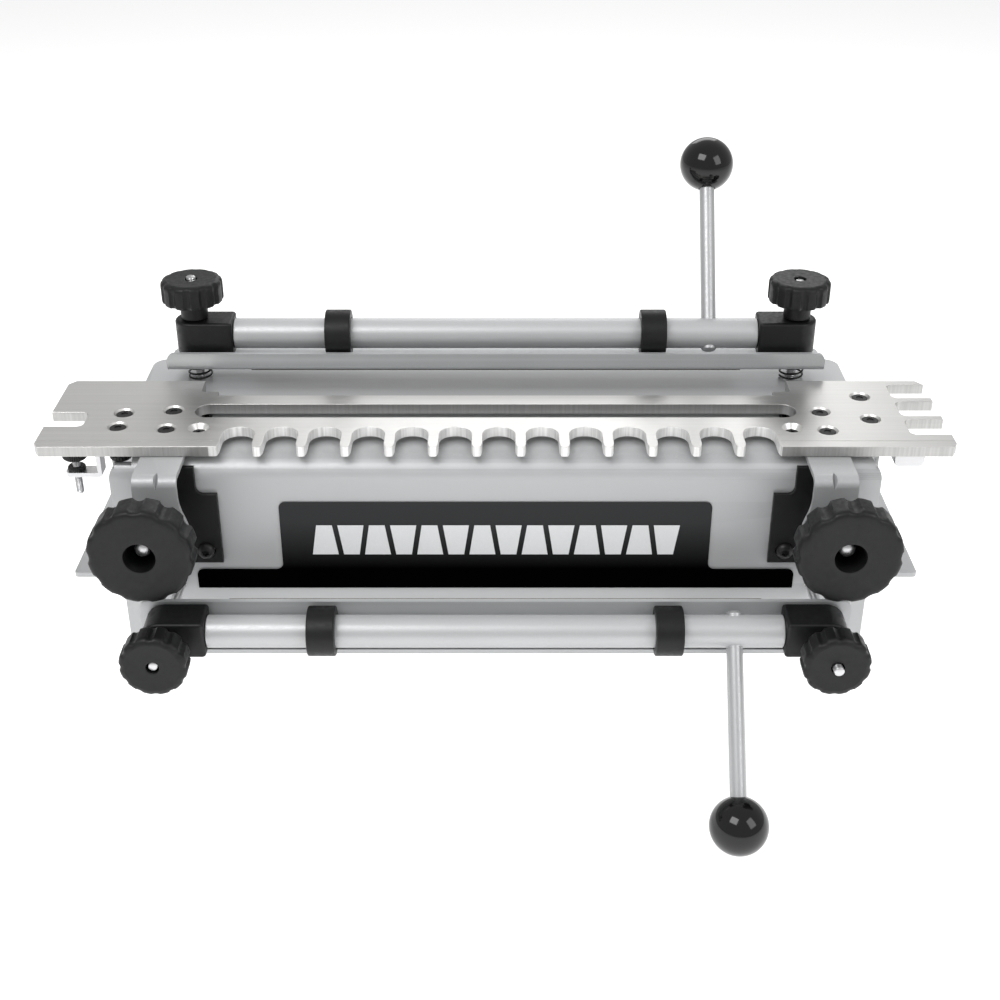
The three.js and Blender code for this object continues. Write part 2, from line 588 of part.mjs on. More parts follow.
function clampBar({ drop, lipTop }) {
  const { half, sheet, lip, rear, corner, hole } = BAR;
  const shape = new THREE.Shape();
  const low = -drop - sheet;
  shape.moveTo(rear, low);
  shape.lineTo(rear, -drop);
  shape.lineTo(-lip + sheet + 1, -drop);
  shape.absarc(-lip + sheet + 1, -drop + 1, 1, -Math.PI / 2, Math.PI, true);
  shape.lineTo(-lip + sheet, lipTop);
  shape.lineTo(-lip, lipTop);
  shape.lineTo(-lip, low + sheet + 1);
  shape.absarc(-lip + sheet + 1, low + sheet + 1, sheet + 1, Math.PI, Math.PI * 1.5);
  const plan = roundedBox(-half, half, -lip - 20, rear, corner);
  const face = roundedBox(-half, half, low - 20, lipTop, corner);
  let body = section(shape, -half, half);
  body = body.intersect(solid(plate(plan, low - 1, 20)));
  body = body.intersect(solid(plate(face, 0, 60).rotateX(Math.PI / 2).translate(0, 20, 0)));
  for (const [, side] of SIDES) {
    body = cut(body, rod(hole, low - 1, -drop + 1, 'z', side * CLAMP_X.stud, 0, 0, 14));
  }
  return body;
}

function buildClamp(name, spec) {
  const { axis, quarterTurn, lean, lobe, drop, surfaceZ, leverX, proud, springs } = spec;
  const clamp = new THREE.Group();
  clamp.position.set(0, axis.y, axis.z);
  clamp.rotation.x = quarterTurn;
  jig.add(clamp);
  const faceZ = BLOCK.high + GAP + SMALL_KNOB.hubLength + SMALL_KNOB.rim;
  const studLow = surfaceZ - BASE.sheet + 0.2;
  const barBack = -drop - BAR.sheet - GAP;
  const { radius } = SMALL_STUD;
  for (const [sideName, side] of SIDES) {
    const studX = side * CLAMP_X.stud;
    const studEnd = faceZ + proud[sideName];
    add(clamp, `${name}_${sideName}_block`, clampBlock(side), PLASTIC);
    add(clamp, `${name}_${sideName}_stud`, turned(
      [[0, studLow], [radius, studLow], [radius, studEnd - 0.8], [radius - 0.8, studEnd], [0, studEnd]],
      12, 'z', studX, 0, 0), STEEL);
    add(clamp, `${name}_${sideName}_knob`, knob(SMALL_KNOB, radius), PLASTIC)
      .position.set(studX, 0, BLOCK.high + GAP);
    if (springs) {
      add(clamp, `${name}_${sideName}_spring`, spring(barBack), BLACK_STEEL).position.set(studX, 0, 0);
    }
  }
  add(clamp, `${name}_clamp_bar`, clampBar(spec), SATIN_BAR);
  const grip = box(-GRIP.half, GRIP.half, GRIP.front, GRIP.back, barBack - GRIP.thick, barBack);
  add(clamp, `${name}_grip_strip`, grip, GRIT);

  const cam = new THREE.Group();
  cam.rotation.x = -lean;
  clamp.add(cam);
  add(cam, `${name}_tube`, clampTube(leverX), STEEL);
  for (const [sideName, side] of SIDES) {
    add(cam, `${name}_${sideName}_collar`, collar(side * CLAMP_X.collar, lobe), PLASTIC);
  }
  const { radius: rodRadius, tail, length, ball, socket } = LEVER;
  const inBall = length - ball + socket;
  add(cam, `${name}_lever_rod`, turned(
    [[0, -tail], [rodRadius - 1.5, -tail + 0.4], [rodRadius, -tail + 1.6], [rodRadius, inBall], [0, inBall]],
    16, 'z', leverX, 0, 0), STEEL);
  const round = new THREE.SphereGeometry(ball, 18, 10).rotateX(Math.PI / 2);
  const sphere = solid(round.translate(leverX, 0, length));
  add(cam, `${name}_lever_ball`, cut(
    sphere, rod(rodRadius + GAP, length - ball - 1, inBall + GAP, 'z', leverX, 0, 0, 16)), GLOSS);
}

buildBase();
buildLabel();
buildTemplate();
buildGauge();
for (const [name, side] of SIDES) {
  buildStop(name, side);
  buildBracket(name, side);
  buildBigKnob(name, side);
}
buildClamp('rear', REAR_CLAMP);
buildClamp('front', FRONT_CLAMP);

export default jig;
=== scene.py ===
import math

import bmesh
import bpy
from mathutils import Matrix, Vector


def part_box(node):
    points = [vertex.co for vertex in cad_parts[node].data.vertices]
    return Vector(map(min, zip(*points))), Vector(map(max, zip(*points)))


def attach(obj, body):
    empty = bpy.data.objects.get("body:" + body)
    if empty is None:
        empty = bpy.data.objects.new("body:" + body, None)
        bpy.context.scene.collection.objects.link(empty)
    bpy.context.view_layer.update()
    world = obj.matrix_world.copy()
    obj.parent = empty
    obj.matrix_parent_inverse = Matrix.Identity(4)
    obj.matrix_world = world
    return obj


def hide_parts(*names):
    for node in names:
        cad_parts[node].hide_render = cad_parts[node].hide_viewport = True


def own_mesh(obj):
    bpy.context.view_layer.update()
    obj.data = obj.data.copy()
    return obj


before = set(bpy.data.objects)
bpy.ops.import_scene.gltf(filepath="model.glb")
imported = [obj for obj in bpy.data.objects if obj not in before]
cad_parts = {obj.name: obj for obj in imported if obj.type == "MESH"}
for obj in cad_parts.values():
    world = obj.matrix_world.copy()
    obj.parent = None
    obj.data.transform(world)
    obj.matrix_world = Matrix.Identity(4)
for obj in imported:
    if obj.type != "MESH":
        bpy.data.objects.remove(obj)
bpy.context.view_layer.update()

# The looks of a half-blind dovetail jig. Helpers take millimetres and make meshes in metres.
MM = 0.001
PI = math.pi
SIDES = (("left", -1), ("right", 1))

# The base, in millimetres: a folded sheet with a wall and a foot at each side.
BASE_HALF = 225.0
BASE_SHEET = 3.0
BASE_BEND = 12.0
BASE_CORNER = 10.0
FOOT_FRONT = 15.0
FOOT_FOLD = 3.0
FOOT_HOLES = ((244, 45), (244, 110))
TOP_HOLE = (177, 57)
SMALL_STUD_HOLE = 3.3
LARGE_STUD_HOLE = 5.05
# Room in the base beside, behind and below the fixing nut and screw of the depth gauge.
GAUGE_ROOM = (0.9, 5.65, 0.4)

# The other pieces, in millimetres.
SHEET = 2.8
DENT_X = 191.5
CLAMP_STUD_X = 190.5
TEMPLATE_LIFT = 20
SEATS = ((-223, 41.3), (-223, 23.2), (-194, 45.2), (-194, 20.6),
         (223.5, 64), (223.5, 33.3), (195.3, 43.1), (195.3, 18))
FLUTES = 12
KNURL_DEPTH = 0.3
# Points along a thread in each pitch.
THREAD_STEPS = 6

# The rim of a shape that is cut or joined afterwards, in millimetres, and the weld distance in metres.
PLAIN = 0.01
WELD = 2e-6

# ---------------------------------------------------------------- camera, light and floor
CAMERA_PLACE = (0.0027, -0.7745, 0.4976)
CAMERA_DOWN = math.radians(29.3)
CAMERA_LENS = 54.3
FLOOR_CENTRE = (0, 1.5, -0.18)
FLOOR_SIZE = 9


def make_camera():
    data = bpy.data.cameras.new("camera")
    data.lens = CAMERA_LENS
    data.sensor_width = 36.0
    data.clip_start = 0.01
    camera = bpy.data.objects.new("camera", data)
    camera.location = CAMERA_PLACE
    camera.rotation_euler = (PI / 2 - CAMERA_DOWN, 0, 0)
    bpy.context.scene.collection.objects.link(camera)
    bpy.context.scene.camera = camera


def area_light(name, place, target, size, power, mirrored=True):
    data = bpy.data.lights.new(name, "AREA")
    data.shape = "RECTANGLE"
    data.size, data.size_y = size
    data.energy = power
    light = bpy.data.objects.new(name, data)
    light.location = place
    aim = Vector(target) - Vector(place)
    light.rotation_euler = aim.to_track_quat("-Z", "Y").to_euler()
    light.visible_glossy = mirrored
    bpy.context.scene.collection.objects.link(light)


def make_studio():
    world = bpy.data.worlds.new("studio")
    world.use_nodes = True
    back = world.node_tree.nodes["Background"]
    back.inputs["Color"].default_value = (1, 1, 1, 1)
    back.inputs["Strength"].default_value = 0.56
    bpy.context.scene.world = world
    bpy.context.scene.view_settings.view_transform = "Standard"
    centre = (0, 0.02, 0.06)
    area_light("key_softbox", (-0.7, -0.9, 1.5), centre, (1.0, 0.8), 15)
    area_light("fill_softbox", (1.2, -0.9, 1.0), centre, (0.8, 1.0), 8)
    area_light("top_sheet", (0.0, 0.5, 1.9), centre, (2.2, 1.6), 26, mirrored=False)
    area_light("back_card", (0.12, 1.25, 0.78), centre, (0.85, 0.5), 2.4)
    bpy.ops.mesh.primitive_grid_add(
        x_subdivisions=4, y_subdivisions=4, size=FLOOR_SIZE, location=FLOOR_CENTRE)
    floor = bpy.context.object
    floor.name = "floor"
    look = bpy.data.materials.new("floor")
    look.use_nodes = True
    shader = look.node_tree.nodes["Principled BSDF"]
    shader.inputs["Base Color"].default_value = (1.0, 1.0, 1.0, 1)
    shader.inputs["Roughness"].default_value = 0.9
    shader.inputs["Emission Color"].default_value = (1.0, 1.0, 1.0, 1)
    shader.inputs["Emission Strength"].default_value = 0.25
    floor.data.materials.append(look)


# ---------------------------------------------------------------- materials
# In metres: where the template's fingers end to each side and where its slot begins, which bound the painted
# highlight on the notch walls, and the span over which the label's painted shade fades out.
FINGERS_END = 0.1654
SLOT_FRONT = 0.028
LABEL_SHADE_SPAN = (0.018, 0.05)
# Painted shade on the plate's upright walls, and a painted highlight on the walls of the fingers and
# notches.
WALL_SHADE_TONES = ((0.40, 0.40, 0.39), (0.50, 0.50, 0.49))
NOTCH_HIGHLIGHT_TONES = ((0.66, 0.66, 0.65), (0.96, 0.96, 0.95))


class Look:
    """A procedural material: a Principled shader and the nodes that feed it."""

    def __init__(self, name, metallic=0.0, specular=0.5, coat=0.0):
        self.material = bpy.data.materials.new(name)
        self.material.use_nodes = True
        self.tree = self.material.node_tree
        self.shader = self.tree.nodes["Principled BSDF"]
        self.shader.inputs["Metallic"].default_value = metallic
        self.shader.inputs["Specular IOR Level"].default_value = specular
        self.shader.inputs["Coat Weight"].default_value = coat
        self.shader.inputs["Coat Roughness"].default_value = 0.08
        self.coords = self.node("ShaderNodeTexCoord").outputs["Object"]

    def node(self, kind, **settings):
        made = self.tree.nodes.new(kind)
        for key, value in settings.items():
            setattr(made, key, value)
        return made

    def feed(self, socket, value):
        if isinstance(value, bpy.types.NodeSocket):
            self.tree.links.new(value, socket)
        else:
            socket.default_value = value

    def noise(self, scale, detail=3.0, stretch=(1, 1, 1), roughness=0.55):
        mapping = self.node("ShaderNodeMapping")
        self.feed(mapping.inputs["Vector"], self.coords)
        mapping.inputs["Scale"].default_value = stretch
        texture = self.node("ShaderNodeTexNoise")
        self.feed(texture.inputs["Vector"], mapping.outputs["Vector"])
        texture.inputs["Scale"].default_value = scale
        texture.inputs["Detail"].default_value = detail
        texture.inputs["Roughness"].default_value = roughness
        return texture.outputs["Fac"]

    def spread(self, value, low, high, from_low=0.3, from_high=0.7):
        ramp = self.node("ShaderNodeMapRange")
        self.feed(ramp.inputs["Value"], value)
        ramp.inputs["From Min"].default_value = from_low
        ramp.inputs["From Max"].default_value = from_high
        ramp.inputs["To Min"].default_value = low
        ramp.inputs["To Max"].default_value = high
        return ramp.outputs["Result"]

    def below(self, value, limit, blur):
        """A mask: one below the limit and nought above it, blurred a little either way."""
        return self.spread(value, 1.0, 0.0, limit - blur, limit + blur)

    def mix(self, factor, first, second):
        blend = self.node("ShaderNodeMix", data_type="RGBA")
        self.feed(blend.inputs["Factor"], factor)
        colours = [socket for socket in blend.inputs if socket.type == "RGBA"]
        for socket, value in zip(colours, (first, second)):
            self.feed(socket, (*value, 1) if isinstance(value, tuple) else value)
        return [socket for socket in blend.outputs if socket.type == "RGBA"][0]

    def bump(self, height, strength, distance):
        made = self.node("ShaderNodeBump")
        self.feed(made.inputs["Height"], height)
        made.inputs["Strength"].default_value = strength
        made.inputs["Distance"].default_value = distance
        self.feed(self.shader.inputs["Normal"], made.outputs["Normal"])

    def edges(self, low=0.53, high=0.62):
        geometry = self.node("ShaderNodeNewGeometry")
        return self.spread(geometry.outputs["Pointiness"], 0.0, 1.0, low, high)

    def walls(self):
        """Two masks: all the upright walls of the plate, which get painted shade, and those of the fingers
        and their notches, which get a painted highlight.
        """
        facing = self.node("ShaderNodeSeparateXYZ")
        self.feed(facing.inputs["Vector"], self.node("ShaderNodeNewGeometry").outputs["Normal"])
        upright = self.node("ShaderNodeMath", operation="ABSOLUTE")
        self.feed(upright.inputs[0], facing.outputs["Z"])
        place = self.node("ShaderNodeSeparateXYZ")
        self.feed(place.inputs["Vector"], self.coords)
        aside = self.node("ShaderNodeMath", operation="ABSOLUTE")
        self.feed(aside.inputs[0], place.outputs["X"])
        wall = self.spread(upright.outputs["Value"], 1.0, 0.0, 0.3, 0.6)
        among_fingers = self.below(aside.outputs["Value"], FINGERS_END, 0.0002)
        before_slot = self.below(place.outputs["Y"], SLOT_FRONT, 0.002)
        return wall, self.times(self.times(wall, among_fingers), before_slot)

    def times(self, first, second):
        product = self.node("ShaderNodeMath", operation="MULTIPLY")
        self.feed(product.inputs[0], first)
        self.feed(product.inputs[1], second)
        return product.outputs["Value"]

    def colour(self, value):
        self.feed(self.shader.inputs["Base Color"], value)

    def roughness(self, value):
        self.feed(self.shader.inputs["Roughness"], value)


def shade(colour, factor):
    return tuple(min(1.0, c * factor) for c in colour)


def painted(name, colour, metallic=0.35, rough=0.42):
    """Powder coat: a fine orange peel, a slight drift of tone, and edges rubbed a little brighter."""
    look = Look(name, metallic=metallic, specular=0.45)
    drift = look.mix(look.spread(look.noise(14), 0, 1), shade(colour, 0.95), shade(colour, 1.05))
    fleck = look.mix(look.spread(look.noise(1900, 2), 0, 0.5, 0.42, 0.66), drift, shade(colour, 1.16))
    look.colour(look.mix(look.edges(), fleck, shade(colour, 1.2)))
    look.roughness(look.spread(look.noise(700, 2), rough - 0.05, rough + 0.07))
    look.bump(look.noise(1400, 2), 0.14, 0.0003)
    return look.material


def brushed(name, colour, stretch, rough, contrast, bump, walls=False):
    """Machined or brushed metal, with its lines along the axis whose stretch is small. With walls, the
    upright walls get painted shade and those of the fingers and notches a painted highlight.
    """
    look = Look(name, metallic=1.0)
    lines = look.noise(1, 5, stretch, 0.7)
    wide = look.noise(0.22, 2, stretch)
    tone = look.mix(look.spread(lines, 0, 1), shade(colour, 1 - contrast), shade(colour, 1 + contrast))
    tone = look.mix(look.spread(wide, 0, 0.5), tone, shade(colour, 1 - 1.4 * contrast))
    if walls:
        # Painted shade on the upright walls and a painted highlight on the notch walls, both streaked with
        # milling marks.
        marks = look.spread(look.noise(1, 3, (620, 620, 9), 0.6), 0, 1)
        wall, notch = look.walls()
        tone = look.mix(wall, tone, look.mix(marks, *WALL_SHADE_TONES))
        tone = look.mix(notch, tone, look.mix(marks, *NOTCH_HIGHLIGHT_TONES))
        look.feed(look.shader.inputs["Metallic"], look.spread(notch, 1.0, 0.45, 0.0, 1.0))
    look.colour(tone)
    look.roughness(look.spread(lines, rough - 0.06, rough + 0.1))
    look.bump(lines, bump, 0.0002)
    return look.material


def moulded(name, colour):
    """Moulded nylon: a fine spark-eroded texture with duller patches, and slightly paler edges that are
    partly dust and partly a painted sheen.
    """
    look = Look(name, specular=0.3)
    patch = look.mix(look.spread(look.noise(60, 3), 0, 1), shade(colour, 0.85), shade(colour, 1.2))
    # Paler edges: partly dust, partly a painted sheen where the edges catch the light.
    look.colour(look.mix(look.edges(0.52, 0.6), patch, shade(colour, 2.0)))
    look.roughness(look.spread(look.noise(350, 3), 0.34, 0.52))
    look.bump(look.noise(2600, 2), 0.15, 0.0003)
    return look.material


def polished(name, colour):
    """Polished phenolic: nearly black, glossy, with faint handling marks."""
    look = Look(name, specular=0.35, coat=0.15)
    look.colour(look.mix(look.spread(look.noise(40), 0, 1), colour, shade(colour, 1.6)))
    look.roughness(look.spread(look.noise(220, 4), 0.05, 0.13))
    look.bump(look.noise(90, 2), 0.02, 0.0004)
    return look.material


def label_with_painted_shade():
    """Vinyl label: dark grey, running down to black at the bottom in painted shade that stands for a dark
    reflection on its lower strip.
    """
    look = Look("label", specular=0.0)
    split = look.node("ShaderNodeSeparateXYZ")
    look.feed(split.inputs["Vector"], look.coords)
    # Painted shade: the label darkens to black towards the bottom.
    fade = look.spread(split.outputs["Z"], 0.0, 1.0, *LABEL_SHADE_SPAN)
    base = look.mix(fade, (0.0006, 0.0006, 0.0006), (0.037, 0.038, 0.039))
    fleck = look.times(look.spread(look.noise(1200, 2), 0, 0.08), fade)
    look.colour(look.mix(fleck, base, (0.05, 0.05, 0.052)))
    look.roughness(look.spread(look.noise(300, 2), 0.5, 0.6))
    look.bump(look.noise(1500, 2), 0.05, 0.0002)
    return look.material


def abrasive():
    """Coarse grit on a strip: sharp dark and pale grains."""
    look = Look("grip", specular=0.3)
    grains = look.noise(2200, 2)
    look.colour(look.mix(look.spread(grains, 0, 1, 0.4, 0.6), (0.03, 0.025, 0.02), (0.22, 0.19, 0.15)))
    look.roughness(look.spread(grains, 0.8, 0.98))
    look.bump(grains, 0.7, 0.0008)
    return look.material


# ---------------------------------------------------------------- mesh helpers
UPRIGHT = Matrix(((1, 0, 0, 0), (0, 0, -1, 0), (0, 1, 0, 0), (0, 0, 0, 1)))
ALONG_X = Matrix(((0, 0, 1, 0), (1, 0, 0, 0), (0, 1, 0, 0), (0, 0, 0, 1)))


def shift(x=0.0, y=0.0, z=0.0):
    return Matrix.Translation((x * MM, y * MM, z * MM))


def build_mesh(verts, faces, place=None):
    mesh = bpy.data.meshes.new("piece")
    mesh.from_pydata([(x * MM, y * MM, z * MM) for x, y, z in verts], [], faces)
    tidy_mesh(mesh)
    if place is not None:
        mesh.transform(place)
    return mesh


def tidy_mesh(mesh):
    edit = bmesh.new()
    edit.from_mesh(mesh)
    bmesh.ops.remove_doubles(edit, verts=edit.verts, dist=WELD)
    bmesh.ops.dissolve_degenerate(edit, edges=edit.edges, dist=WELD)
    bmesh.ops.recalc_face_normals(edit, faces=edit.faces)
    edit.to_mesh(mesh)
    edit.free()


def arc(cx, cy, radius, start, end, steps):
    """Points on an arc, its angles in degrees, both ends included."""
    turn = [math.radians(start + (end - start) * i / steps) for i in range(steps + 1)]
    return [(cx + radius * math.cos(a), cy + radius * math.sin(a)) for a in turn]


def rounded(x0, x1, y0, y1, radius, steps=6):
    left, right, low, high = x0 + radius, x1 - radius, y0 + radius, y1 - radius
    points = []
    for cx, cy, start in ((right, high, 0), (left, high, 90), (left, low, 180), (right, low, 270)):
        points += arc(cx, cy, radius, start, start + 90, steps)
    return points


def plate(outer, holes, low, high, bevel, place=None, bevel_steps=2):
    """A flat outline with holes, raised from low to high, with its rims rounded by bevel."""
    curve = bpy.data.curves.new("outline", "CURVE")
    curve.dimensions = "2D"
    curve.fill_mode = "BOTH"
    curve.extrude = ((high - low) / 2 - bevel) * MM
    curve.bevel_depth = bevel * MM
    curve.bevel_resolution = bevel_steps
    curve.offset = -bevel * MM
    for loop in (outer, *holes):
        spline = curve.splines.new("POLY")
        spline.points.add(len(loop) - 1)
        for point, (x, y) in zip(spline.points, loop):
            point.co = (x * MM, y * MM, 0, 1)
        spline.use_cyclic_u = True
    holder = bpy.data.objects.new("outline", curve)
    bpy.context.scene.collection.objects.link(holder)
    shape = holder.evaluated_get(bpy.context.evaluated_depsgraph_get())
    mesh = bpy.data.meshes.new_from_object(shape)
    bpy.data.objects.remove(holder)
    mesh.transform(shift(z=(high + low) / 2))
    tidy_mesh(mesh)
    if place is not None:
        mesh.transform(place)
    return mesh


def prism(outline, low, high, place=None):
    """A plain raised outline, which is cut, joined or intersected afterwards."""
    return plate(outline, (), low, high, PLAIN, place, 0)


def revolve(profile, steps, shape, place):
    """A turned solid about Z. shape(angle, radius, height) may change each radius."""
    verts, faces, rings = [], [], []
    closed = profile[0] == profile[-1]
    for radius, height in profile[:-1] if closed else profile:
        first = len(verts)
        if radius == 0:
            verts.append((0, 0, height))
            rings.append([first] * steps)
            continue
        for i in range(steps):
            angle = 2 * PI * i / steps
            r = shape(angle, radius, height) if shape else radius
            verts.append((r * math.cos(angle), r * math.sin(angle), height))
        rings.append(list(range(first, first + steps)))
    if closed:
        rings.append(rings[0])
    for low, high in zip(rings, rings[1:]):
        for i in range(steps):
            j = (i + 1) % steps
            face = list(dict.fromkeys((low[i], low[j], high[j], high[i])))
            if len(face) > 2:
                faces.append(face)
    return build_mesh(verts, faces, place)


def block(x0, x1, y0, y1, z0, z1, bevel):
    return plate([(x0, y0), (x1, y0), (x1, y1), (x0, y1)], (), z0, z1, bevel)


def combine(first, second, operation):
    """Joins, cuts or intersects two meshes and gives the result as a new mesh."""
    holders = []
    for mesh in (first, second):
        holder = bpy.data.objects.new("operand", mesh)
        bpy.context.scene.collection.objects.link(holder)
        holders.append(holder)
    step = holders[0].modifiers.new("boolean", "BOOLEAN")
    step.operation = operation
    step.solver = "EXACT"
    step.object = holders[1]
    shape = holders[0].evaluated_get(bpy.context.evaluated_depsgraph_get())
    result = bpy.data.meshes.new_from_object(shape)
    for holder in holders:
        bpy.data.objects.remove(holder)
    tidy_mesh(result)
    return result


def cut(mesh, *cutters):
    for cutter in cutters:
        mesh = combine(mesh, cutter, "DIFFERENCE")
    return mesh


def soften(mesh, width, segments=2):
    """Rounds the sharp edges of a finished mesh."""
    holder = bpy.data.objects.new("operand", mesh)
    bpy.context.scene.collection.objects.link(holder)
    step = holder.modifiers.new("bevel", "BEVEL")
    step.width = width * MM
    step.segments = segments
    step.limit_method = "ANGLE"
    step.angle_limit = math.radians(40)
    shape = holder.evaluated_get(bpy.context.evaluated_depsgraph_get())
    result = bpy.data.meshes.new_from_object(shape)
    bpy.data.objects.remove(holder)
    return result


def level_normals(obj):
    """Lets the large flat faces lead the shading, so that no streak runs off a rounded edge."""
    step = obj.modifiers.new("normals", "WEIGHTED_NORMAL")
    step.weight = 100
    step.keep_sharp = True
    shape = obj.evaluated_get(bpy.context.evaluated_depsgraph_get())
    result = bpy.data.meshes.new_from_object(shape)
    obj.modifiers.clear()
    obj.data = result


def piece(name, mesh, body, look, node=None, sharp=35, level=True):
    """Puts a finished mesh in the scene, on its body, standing for its CAD node."""
    obj = bpy.data.objects.new(name, mesh)
    bpy.context.scene.collection.objects.link(obj)
    mesh.materials.clear()
    mesh.materials.append(look)
    for face in mesh.polygons:
        face.use_smooth = True
        face.material_index = 0
    mesh.set_sharp_from_angle(angle=math.radians(sharp))
    if level:
        level_normals(obj)
    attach(obj, body)
    if node:
        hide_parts(node)
    return obj


def limits(node):
    """The lowest and the highest corner of a CAD node's box, in millimetres."""
    return [[value / MM for value in corner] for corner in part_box(node)]


def centre(node):
    low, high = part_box(node)
    return (low + high) / 2 / MM


def on_side(side, outline):
    """An outline drawn for the right side, flipped where the side is the left one."""
    return [(side * x, y) for x, y in outline]


def slot_around(x, y, half_wide, half_high, radius):
    return rounded(x - half_wide, x + half_wide, y - half_high, y + half_high, radius)


def circle(cx, cy, radius, steps):
    return arc(cx, cy, radius, 0, 360, steps)[:-1]


def drill(radius, low, high, place):
    return revolve([(0, low), (radius, low), (radius, high), (0, high)], 32, None, place)


def knurl(count, edge, depth):
    """A radius rule for revolve that cuts ridges into a rim that lies outside the radius edge."""
    return lambda angle, r, height: r - depth * abs(math.sin(count * angle)) if r > edge else r


def thread(pitch, depth):
    """A radius rule for revolve that cuts a right-hand thread."""
    def rule(angle, radius, height):
        phase = (height / pitch - angle / (2 * PI)) % 1.0
        return radius - depth * abs(2 * phase - 1)
    return rule


def threaded_rod(radius, low, high, pitch, place, chamfer, depth, steps=24):
    """A threaded stud from low to high, its ends chamfered."""
    length = high - low - 2 * chamfer
    count = int(length / pitch * THREAD_STEPS)
    end = radius - depth - chamfer * 0.6
    heights = [low + chamfer + length * i / count for i in range(count + 1)]
    turn = thread(pitch, depth)

    def rule(angle, r, height):
        return turn(angle, r, height) if r == radius else r
    profile = [(0, low), (end, low)] + [(radius, h) for h in heights] + [(end, high), (0, high)]
    return revolve(profile, steps, rule, place)


def rise(share):
    """Height reached along a spring's wire: the turns close up a little towards both ends."""
    return share - 0.2 * math.sin(2 * PI * share) / (2 * PI)


def coil(radius, wire, low, high, turns, first, last, place):
    """A length of a spring about Z, from the share first to the share last of its wire."""
    ring, per_turn = 10, 20
    count = int(turns * per_turn * (last - first))
    slope = math.atan2(high - low, turns * 2 * PI * radius)
    verts, faces = [], []
    for i in range(count + 1):
        share = first + (last - first) * i / count
        angle = 2 * PI * turns * share
        out = Vector((math.cos(angle), math.sin(angle), 0))
        ahead = Vector((-math.sin(angle), math.cos(angle), 0))
        along = ahead * math.cos(slope) + Vector((0, 0, math.sin(slope)))
        up = out.cross(along)
        middle = out * radius + Vector((0, 0, low + (high - low) * rise(share)))
        for j in range(ring):
            turn = 2 * PI * j / ring
            verts.append(tuple(middle + (out * math.cos(turn) + up * math.sin(turn)) * wire))
    for i in range(count):
        for j in range(ring):
            k = (j + 1) % ring
            faces.append((i * ring + j, i * ring + k, (i + 1) * ring + k, (i + 1) * ring + j))
    faces.append(tuple(range(ring)))
    faces.append(tuple(count * ring + j for j in range(ring)))
    return build_mesh(verts, faces, place)


def knob_mesh(radius, rim, hub, hub_length, bore, bore_depth, stud, dip, place):
    """A round knob about Z: hub at 0, rim above it with flutes that fade towards the face."""
    top = hub_length + rim
    fluted_from, fade_from = radius * 0.82, 0.62

    def flute(angle, r, height):
        if r < fluted_from:
            return r
        climb = (height - hub_length) / rim
        past = max(0.0, min(1.0, (climb - fade_from) / (1 - fade_from)))
        wave = max(0.0, math.cos(angle * FLUTES)) ** 0.8
        return r - dip * (1.0 - 0.75 * past ** 1.5) * wave
    side = [(radius, hub_length + rim * t) for t in (0.14, 0.3, 0.45, 0.6, 0.7, 0.8)]
    hub_part = [(stud, 0.4), (stud + 0.4, 0), (hub - 0.8, 0), (hub, 0.8), (hub, hub_length - 0.9)]
    rim_back = [(hub + 0.9, hub_length), (radius * 0.9, hub_length), (radius - 0.7, hub_length + 0.25),
                (radius - 0.15, hub_length + 1.0)]
    rim_face = [(radius - 0.25, top - 1.9), (radius - 0.9, top - 0.9), (radius - 2.0, top - 0.3),
                (radius - 3.4, top), (radius * 0.8, top), (radius * 0.6, top - 0.15)]
    bore_part = [(bore + 1.0, top - 0.15), (bore + 0.25, top - 0.4), (bore, top - 1.0),
                 (bore, top - bore_depth), (stud, top - bore_depth), (stud, 0.4)]
    profile = hub_part + rim_back + side + rim_face + bore_part
    return revolve(profile, FLUTES * 12, flute, place)


# ---------------------------------------------------------------- base
def build_base(look):
    (_, _, bottom), (foot_reach, back, top) = limits("base")
    half, sheet, bend = BASE_HALF, BASE_SHEET, BASE_BEND
    inner = bend - sheet
    outline = [(-sheet, bottom), (0, bottom), (0, top - bend)]
    outline += arc(inner, top - bend, inner, 180, 90, 14)[1:] + [(back, top - sheet), (back, top)]
    outline += arc(inner, top - bend, bend, 90, 180, 18)
    body = prism(outline, -half, half, ALONG_X)
    from_above = prism(rounded(-half, half, -40, back, BASE_CORNER), bottom - 5, top + 5)
    from_front = prism(rounded(-half, half, bottom, top + 60, 7), -200, 20, UPRIGHT)
    body = combine(body, from_above, "INTERSECT")
    body = combine(body, from_front, "INTERSECT")
    for _, side in SIDES:
        body = combine(body, base_wall(side, top, back - BASE_CORNER, foot_reach), "UNION")
    body = cut(body, *base_cutters(top))
    piece("base_body", soften(body, 0.45), "base", look, "base", 30)


def base_wall(side, top, back, foot_reach):
    """One side wall with the foot folded outward from it."""
    half, sheet, fold = BASE_HALF, BASE_SHEET, FOOT_FOLD
    seam, fold_x, fold_z = top - sheet / 2, half + fold, sheet + fold
    shape = [(half, seam), (half, fold_z)] + arc(fold_x, fold_z, fold, 180, 270, 6)[1:]
    shape += [(foot_reach, sheet), (foot_reach, 0)] + arc(fold_x, fold_z, sheet + fold, 270, 180, 8)
    shape += [(half - sheet, seam)]
    strip = prism(on_side(side, shape), -back, sheet / 2, UPRIGHT)
    inner = half - BASE_CORNER
    wall = sorted((side * inner, side * (half + 0.001)))
    wall_zone = block(*wall, -sheet / 2, back, -1, top, PLAIN)
    foot = sorted((side * inner, side * foot_reach))
    foot_zone = prism(rounded(*foot, FOOT_FRONT, back, 2.5), -1, top)
    return combine(strip, combine(wall_zone, foot_zone, "UNION"), "INTERSECT")


